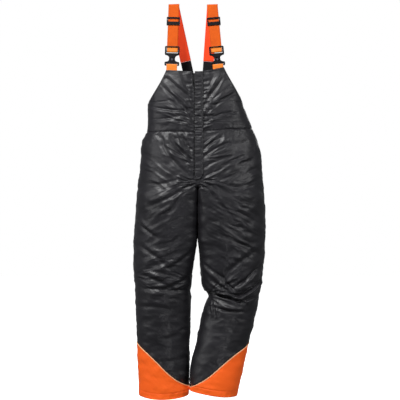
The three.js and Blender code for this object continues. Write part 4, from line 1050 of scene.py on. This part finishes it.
# ---- Storm flap, zip ----
ZIP_TOP, ZIP_BOTTOM = Z_BIB - 8, Z_FLY + 16
FLAP_FREE, FLAP_FOLD, FLAP_SEAM, FLAP_CORNER = -10.0, 15.6, 21.0, 18.0
FLAP_OUT, STRIP_OUT = 4.4, 4.2
FLAP_THICK, STRIP_THICK = 1.6, 3.2
FLAP_GRID, STRIP_GRID = (230, 18), (150, 5)
slope = (FRONT_TOP_Y - FRONT_FLY_Y) / (Z_BIB - Z_FLY)
zip_up, zip_in = unit([0, slope, 1]), unit([0, 1, -slope])
zip_origin = np.array([0, centre_front(ZIP_TOP), ZIP_TOP])
zip_length = (ZIP_TOP - ZIP_BOTTOM) / zip_up[2]
flap_top, flap_bottom = 8 / zip_up[2] - 1, -zip_length - 16


def on_zip(x, y, s):
    """A point at x across, y into the garment and s up the zip's line."""
    x, y, s = np.broadcast_arrays(np.asarray(x, float), y, s)
    return x[..., None] * X_AXIS + y[..., None] * zip_in + s[..., None] * zip_up + zip_origin


s = np.linspace(flap_top, flap_bottom, FLAP_GRID[0])[:, None]
v = np.linspace(0, 1, FLAP_GRID[1])[None]
in_corner = np.maximum(0, flap_bottom + FLAP_CORNER - s)
left_edge = FLAP_FOLD - FLAP_CORNER + np.sqrt(np.maximum(0, FLAP_CORNER**2 - in_corner**2))
x = lerp(FLAP_FREE + 0 * s, left_edge, v)
# The flap is gathered most in its middle stretch and lies flatter near its fold.
q = np.stack([x / 44, s / 8.5 + 0 * x, 0 * x + 3.3], -1)
gathered = 0.35 + 0.65 * smooth(-s, 60, 110) * (1 - smooth(-s, 210, 270))
lift = gathered * (5.4 * smooth_noise(q, 1, 2) + 2.2 * smooth_noise(q * (1, 1.9, 1), 1, 6))
lift *= np.sin(math.pi * np.clip(v * 0.8 + 0.15, 0, 1)) * (0.35 + 0.65 * smooth(FLAP_FOLD - x, 0, 9))
lift += (1.2 + 1.6 * smooth_noise(np.stack([0 * x, s / 50 + 0 * x, 0 * x], -1), 1, 8)) * (1 - v)
flap = on_zip(x, -FLAP_OUT - np.maximum(lift, -1.0), s)
flap_cloth = sheet_object("storm_flap_cloth", flap, 1, black, FLAP_THICK)
stand_in(flap_cloth, "storm_flap", "storm_flap")
x = np.linspace(FLAP_FOLD + 0.3, FLAP_SEAM, STRIP_GRID[1])[None]
s = np.linspace(flap_top, flap_bottom + FLAP_CORNER, STRIP_GRID[0])[:, None]
crown = 0.6 * np.sin(math.pi * (x - FLAP_FOLD) / (FLAP_SEAM - FLAP_FOLD)) + 0.3 * np.sin(s / 3.1)
strip = on_zip(x, -STRIP_OUT - crown, s)
strip_cloth = sheet_object("flap_seam_strip_cloth", strip, 1, black, STRIP_THICK)
stand_in(strip_cloth, "flap_seam_strip")
edge = flap[4:-12, 2] - zip_in * ON_CLOTH
stitches("stitch_flap_edge", edge, -zip_in, thread_black, "storm_flap")
stitches("stitch_flap_strip", strip[:, 3] - zip_in * ON_CLOTH, -zip_in, thread_black)


def finish_node(name, surface_material, bevel, segments=2):
    """A CAD node that stays: softened edges and its own material."""
    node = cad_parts[name]
    if not node.material_slots:
        node.data.materials.append(surface_material)
    for slot in node.material_slots:
        slot.link = "OBJECT"
        slot.material = surface_material
    soften = node.modifiers.new("soften", "BEVEL")
    soften.width, soften.segments = bevel, segments
    soften.limit_method, soften.angle_limit = "ANGLE", math.radians(35)


for name in ("zip_tape_right", "zip_tape_left"):
    finish_node(name, tape, 0.0001, 1)
for name in ("zip_slider", "zip_pull", "zip_stop"):
    finish_node(name, zinc, 0.00018)


# ---- Braces ----
WEBBING, WEBBING_THICK, BAR_RADIUS = 40.0, 2.0, 11.0
WEB_BAR, ADJUSTER, FOLD = 71.0, 188.0, 2.9  # heights above a brace's foot, and its folds' radius
TAB_BAR, TAB_RADIUS, TAB_HALF_GAP, TAB_THICK = 17, 3.0, 0.95, 1.6
ELASTIC_DROP, ELASTIC_THICK = 197, 2.6
PAINTED_LIGHT_RINGS = 20  # painted light: the webbing is painted lighter where it wraps round the buckle's bar
ACROSS_BAND = np.linspace(-17, 17, 30)  # a stitch line over a band's width


def square_to(wide, line):
    """Directions over a band's width, made square to its line, and the directions out of its face."""
    tangent = unit(np.gradient(line, axis=0))
    wide = unit(wide - tangent * (wide * tangent).sum(1, keepdims=True))
    return wide, np.cross(wide, tangent)


def strap(name, centres, across, out, width, thick, surface_material, painted_inside_material=None):
    """Flat webbing along a path, with rounded edges; its inside can have a material of its own, with painted
    shade and a glow as painted light, and then its first rings are webbing painted lighter as painted light.
    """
    w, t = width / 2, thick / 2
    top = [(x, t) for x in np.linspace(-0.96, 0.96, 11) * w]
    bottom = [(-x, -t) for x, _ in top]
    ring = np.array([*top, (w, 0.4 * t), (w, -0.4 * t), *bottom, (-w, -0.4 * t), (-w, 0.4 * t)])
    rings = centres[:, None] + ring[:, :1] * across[:, None] + ring[:, 1:] * out[:, None]
    uv = np.stack(np.broadcast_arrays(ring[:, 0], run_along(centres)[:, None]), -1)
    band = tube_object(name, rings, surface_material, uv=uv.reshape(-1, 2) * MM)
    if painted_inside_material:
        band.data.materials.append(painted_inside_material)
        band.data.materials.append(webbing_painted_light)
        corner = np.tile(np.arange(len(ring)), len(centres) - 1)
        # The inside faces take the painted shade, and the first rings the webbing painted lighter as painted
        # light.
        kind = np.where((corner >= len(top) + 2) & (corner < len(ring) - 2), 1, 0)
        kind[: PAINTED_LIGHT_RINGS * len(ring)] = 2
        band.data.polygons.foreach_set("material_index", [*kind.tolist(), 0, 0])
    return band


class Brace:
    """Where a brace runs: from its foot on the bib over the hanger bar to the back bib."""

    def __init__(self, side, word, foot, top, rear):
        self.side, self.word, self.body = side, word, f"brace_{word}"
        self.foot = np.array([*foot, Z_BIB + 8.0])
        self.top = np.array([top, -BAR_RADIUS, 0.0])
        self.rear_top = np.array([top, BAR_RADIUS, 0.0])
        self.rear_foot = np.array([rear, float(back_y(Z_BACK_TOP)) - 5.1, Z_BACK_TOP])
        self.up, self.down = unit(self.top - self.foot), unit(self.rear_foot - self.rear_top)
        self.across = unit(X_AXIS - self.up * self.up[0])
        self.rear_across = unit(X_AXIS - self.down * self.down[0])
        self.inward = unit(np.cross(self.up, self.across))
        self.elastic_top = self.rear_top - self.down * ELASTIC_DROP / self.down[2]

    def at(self, path):
        """Points from pairs of depth behind the brace's plane and height above its foot."""
        depth, height = np.array(path, float).T[..., None]
        return self.foot + depth * self.inward + height * self.up


def main_webbing(brace):
    """From behind the web bar, round it, up the front, over the hanger bar and down the back."""
    angles = np.linspace(0, -math.pi, 15)
    low = [(2 * FOLD, WEB_BAR + 3)]
    low += [(FOLD + FOLD * math.cos(a), WEB_BAR + FOLD * math.sin(a)) for a in angles]
    low += [(0, WEB_BAR + 6), (0, ADJUSTER + 22)]
    front_run = resample(brace.at(low), 1.6)
    angles = np.linspace(math.pi, 0, 25)
    over = np.stack([0 * angles + brace.top[0], BAR_RADIUS * np.cos(angles), BAR_RADIUS * np.sin(angles)], -1)
    bridge = np.linspace(front_run[-1], over[0], 14)[1:-1]
    rear_run = np.linspace(brace.rear_top, brace.elastic_top, 40)[1:]
    path = np.concatenate([front_run, bridge, over, rear_run])
    # Two passes of averaging round off the joins at the bar.
    a, b = len(front_run) + 4, len(path) - 4
    for _ in range(2):
        path[a:b] = (path[a - 1 : b - 1] + path[a:b] * 2 + path[a + 1 : b + 1]) / 4
    run = run_along(path)
    turn = smooth(run, run[len(front_run) + 10], run[len(front_run) + 40])[:, None]
    wide, out = square_to(lerp(brace.across, brace.rear_across, turn), path)
    wave = 0.5 * np.sin(run / 23 + brace.side) * smooth(run, 150, 190)
    path = path + out * wave[:, None]
    name = f"brace_webbing_{brace.word}"
    band = strap(f"{name}_band", path, wide, out, WEBBING, WEBBING_THICK, webbing, webbing_inside_painted_shade)
    stand_in(band, name, brace.body)


def return_layer(brace):
    """Behind the front run, up to the adjuster's rear bar."""
    behind = 2 * FOLD
    path = [(behind, WEB_BAR + 3.6), (behind + 0.8, 110), (behind + 0.6, 150), (behind - 0.6, 172)]
    centres = resample(brace.at([*path, (3.1, ADJUSTER - 2)]), 2)
    wide, out = square_to(brace.across, centres)
    name, slide = f"webbing_return_{brace.word}", f"adjuster_slide_{brace.word}"
    band = strap(f"{name}_band", centres, wide, out, WEBBING, WEBBING_THICK, webbing)
    stand_in(band, name, brace.body)
    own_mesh(band)


def bib_tab(brace):
    """One webbing round the socket's bar, both ends behind the bib's edge."""
    r, half = TAB_RADIUS, TAB_HALF_GAP
    angles = np.linspace(math.pi, 0, 15)
    path = [(-half + 4.2, -26), (-half, -2), (-half, 5), (-r, 14)]
    path += [(r * math.cos(a), TAB_BAR + r * math.sin(a)) for a in angles]
    path += [(r, 14), (half, 5), (half, -2), (half + 4.2, -26)]
    centres = resample(brace.at(path), 1.2)
    wide, out = square_to(brace.across, centres)
    name = f"buckle_tab_{brace.word}"
    # The tab is webbing painted lighter, as painted light.
    band = strap(f"{name}_band", centres, wide, out, WEBBING - 1, TAB_THICK, webbing_painted_light)
    stand_in(band, name)
    for k, height in enumerate((1.5, 4.5)):
        line = brace.at([(-1.9, height)]) + np.outer(ACROSS_BAND, brace.across)
        stitches(f"stitch_tab_{brace.word}_{k}", line, -brace.inward, thread_orange)


def rear_elastic(brace):
    """Follows the brace at its top and the back bib at its bottom."""
    start = brace.elastic_top + brace.down * 0.4
    end = brace.rear_foot + (0, 2.5, -20)
    centres = resample([start, brace.rear_foot, end], 1.5)
    turn = smooth(np.arange(len(centres)), 0, len(centres) - 1)[:, None]
    wide, out = square_to(lerp(brace.rear_across, X_AXIS, turn), centres)
    name = f"rear_elastic_{brace.word}"
    band = strap(f"{name}_band", centres, wide, out, WEBBING - 1, ELASTIC_THICK, elastic)
    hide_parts(name)
    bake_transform(band)
    outward = np.cross(brace.down, brace.rear_across)
    outward = unit(outward * np.sign(outward[1]))
    for k, below in enumerate((4, 9)):
        line = brace.elastic_top - brace.down * below + np.outer(ACROSS_BAND, brace.rear_across)
        stitches(f"stitch_elastic_{brace.word}_{k}", line + outward * 1.1, outward, thread_orange, brace.body)


for brace in (
    Brace(RIGHT, "right", foot=(-95, -68.4), top=-88, rear=-22),
    Brace(LEFT, "left", foot=(76, -70.4), top=55, rear=34),
):
    main_webbing(brace)
    return_layer(brace)
    bib_tab(brace)
    rear_elastic(brace)
    for part in ("buckle_socket", "buckle_tongue", "adjuster"):
        finish_node(f"{part}_{brace.word}", plastic, 0.0007, 3)
    finish_node(f"release_button_{brace.word}", plastic_soft, 0.0006, 3)


# ---- Back of the garment ----
WAISTBAND_SHARE = 0.76  # of the back's width
back_all = np.concatenate([fine[RIGHT, BACK][:, :0:-1], fine[LEFT, BACK]], 1)[::2]
marks = row_marks(BACK) * 2
middle = back_all.shape[1] // 2
span = int(COLUMNS[BACK] * COLUMN_FACTOR * WAISTBAND_SHARE)
place = slice(marks[2] - 12, marks[2] - 1), slice(middle - span, middle + span + 1)
gather = 0.8 * np.cos(np.arange(2 * span + 1) * math.tau / 5)[:, None]
points = back_all[place] + normals(back_all, parity(LEFT, BACK))[place] * (3.0 + gather)
waistband = sheet_object("waistband_elastic_band", points, parity(LEFT, BACK), elastic, 2.2)
stand_in(waistband, "waistband_elastic")

right_back = fine[RIGHT, BACK][::2]
place = slice(marks[2] + 14, marks[2] + 48), slice(20, 46)
out = normals(right_back, parity(RIGHT, BACK))[place]
points = right_back[place] + out * 2.6
pocket = sheet_object("seat_pocket_cloth", points, parity(RIGHT, BACK), black, 2.0)
stand_in(pocket, "seat_pocket")
for label, line in (("a", points[2:, 2]), ("b", points[2:, -3]), ("c", points[-3, 2:-2]), ("d", points[3])):
    stitches(f"stitch_pocket_{label}", line, unit(out.mean((0, 1))), thread_black)


# ---- Stage, light and camera ----
FLOOR_HALF, FLOOR_Z = 9000, -1560
CAMERA_DISTANCE, FRAME_HEIGHT, SENSOR = 4.6, 1.489, 36

floor_material = glowing(material("floor_white", (0.95, 0.95, 0.95), 0.9), (1, 1, 1), 0.9)
corners = [(x * FLOOR_HALF, y * FLOOR_HALF, FLOOR_Z) for x, y in ((-1, -1), (1, -1), (1, 1), (-1, 1))]
floor = make_object("floor", corners, [(0, 1, 2, 3)], floor_material)
floor.visible_diffuse = False
floor.visible_glossy = False

# The camera sees white, and the garment gets a faint cool fill.
world = bpy.data.worlds.new("studio")
scene.world = world
world.use_nodes = True
tree = world.node_tree
tree.nodes.clear()
output = tree.nodes.new("ShaderNodeOutputWorld")
mix = tree.nodes.new("ShaderNodeMixShader")
light_path = tree.nodes.new("ShaderNodeLightPath")
tree.links.new(light_path.outputs["Is Camera Ray"], mix.inputs["Fac"])
for k, colour, strength in ((1, (0.95, 0.97, 1, 1), 0.16), (2, (1, 1, 1, 1), 1.0)):
    background = tree.nodes.new("ShaderNodeBackground")
    background.inputs["Color"].default_value = colour
    background.inputs["Strength"].default_value = strength
    tree.links.new(background.outputs[0], mix.inputs[k])
tree.links.new(mix.outputs[0], output.inputs["Surface"])


def area_light(name, location, target, size, power):
    data = bpy.data.lights.new(name, "AREA")
    data.shape = "RECTANGLE"
    data.size, data.size_y = size
    data.energy = power
    thing = bpy.data.objects.new(name, data)
    scene.collection.objects.link(thing)
    thing.location = location
    thing.rotation_euler = (Vector(target) - Vector(location)).to_track_quat("-Z", "Y").to_euler()


area_light("key", (-1.5, -2.9, 2.6), (0, 0, -0.65), (0.8, 0.8), 185)
area_light("left", (-2.4, -1.3, -0.3), (0, 0, -0.8), (0.5, 1.6), 14)
area_light("fill", (2.4, -2.0, 0.3), (0, 0, -0.8), (0.6, 1.4), 26)
area_light("low", (0.5, -2.6, -2.0), (0, 0, -1.3), (0.8, 0.4), 20)
area_light("behind", (0.4, 2.6, 0.4), (0, 0, -0.7), (1.6, 1.6), 26)

camera_data = bpy.data.cameras.new("camera")
camera = bpy.data.objects.new("camera", camera_data)
scene.collection.objects.link(camera)
camera_data.sensor_width = SENSOR
camera_data.lens = SENSOR * CAMERA_DISTANCE / FRAME_HEIGHT
camera.location = (0.009, -CAMERA_DISTANCE, -0.7167)
camera.rotation_euler = (math.radians(90), 0, 0)
scene.camera = camera
scene.view_settings.view_transform = "Standard"
scene.view_settings.look = "None"
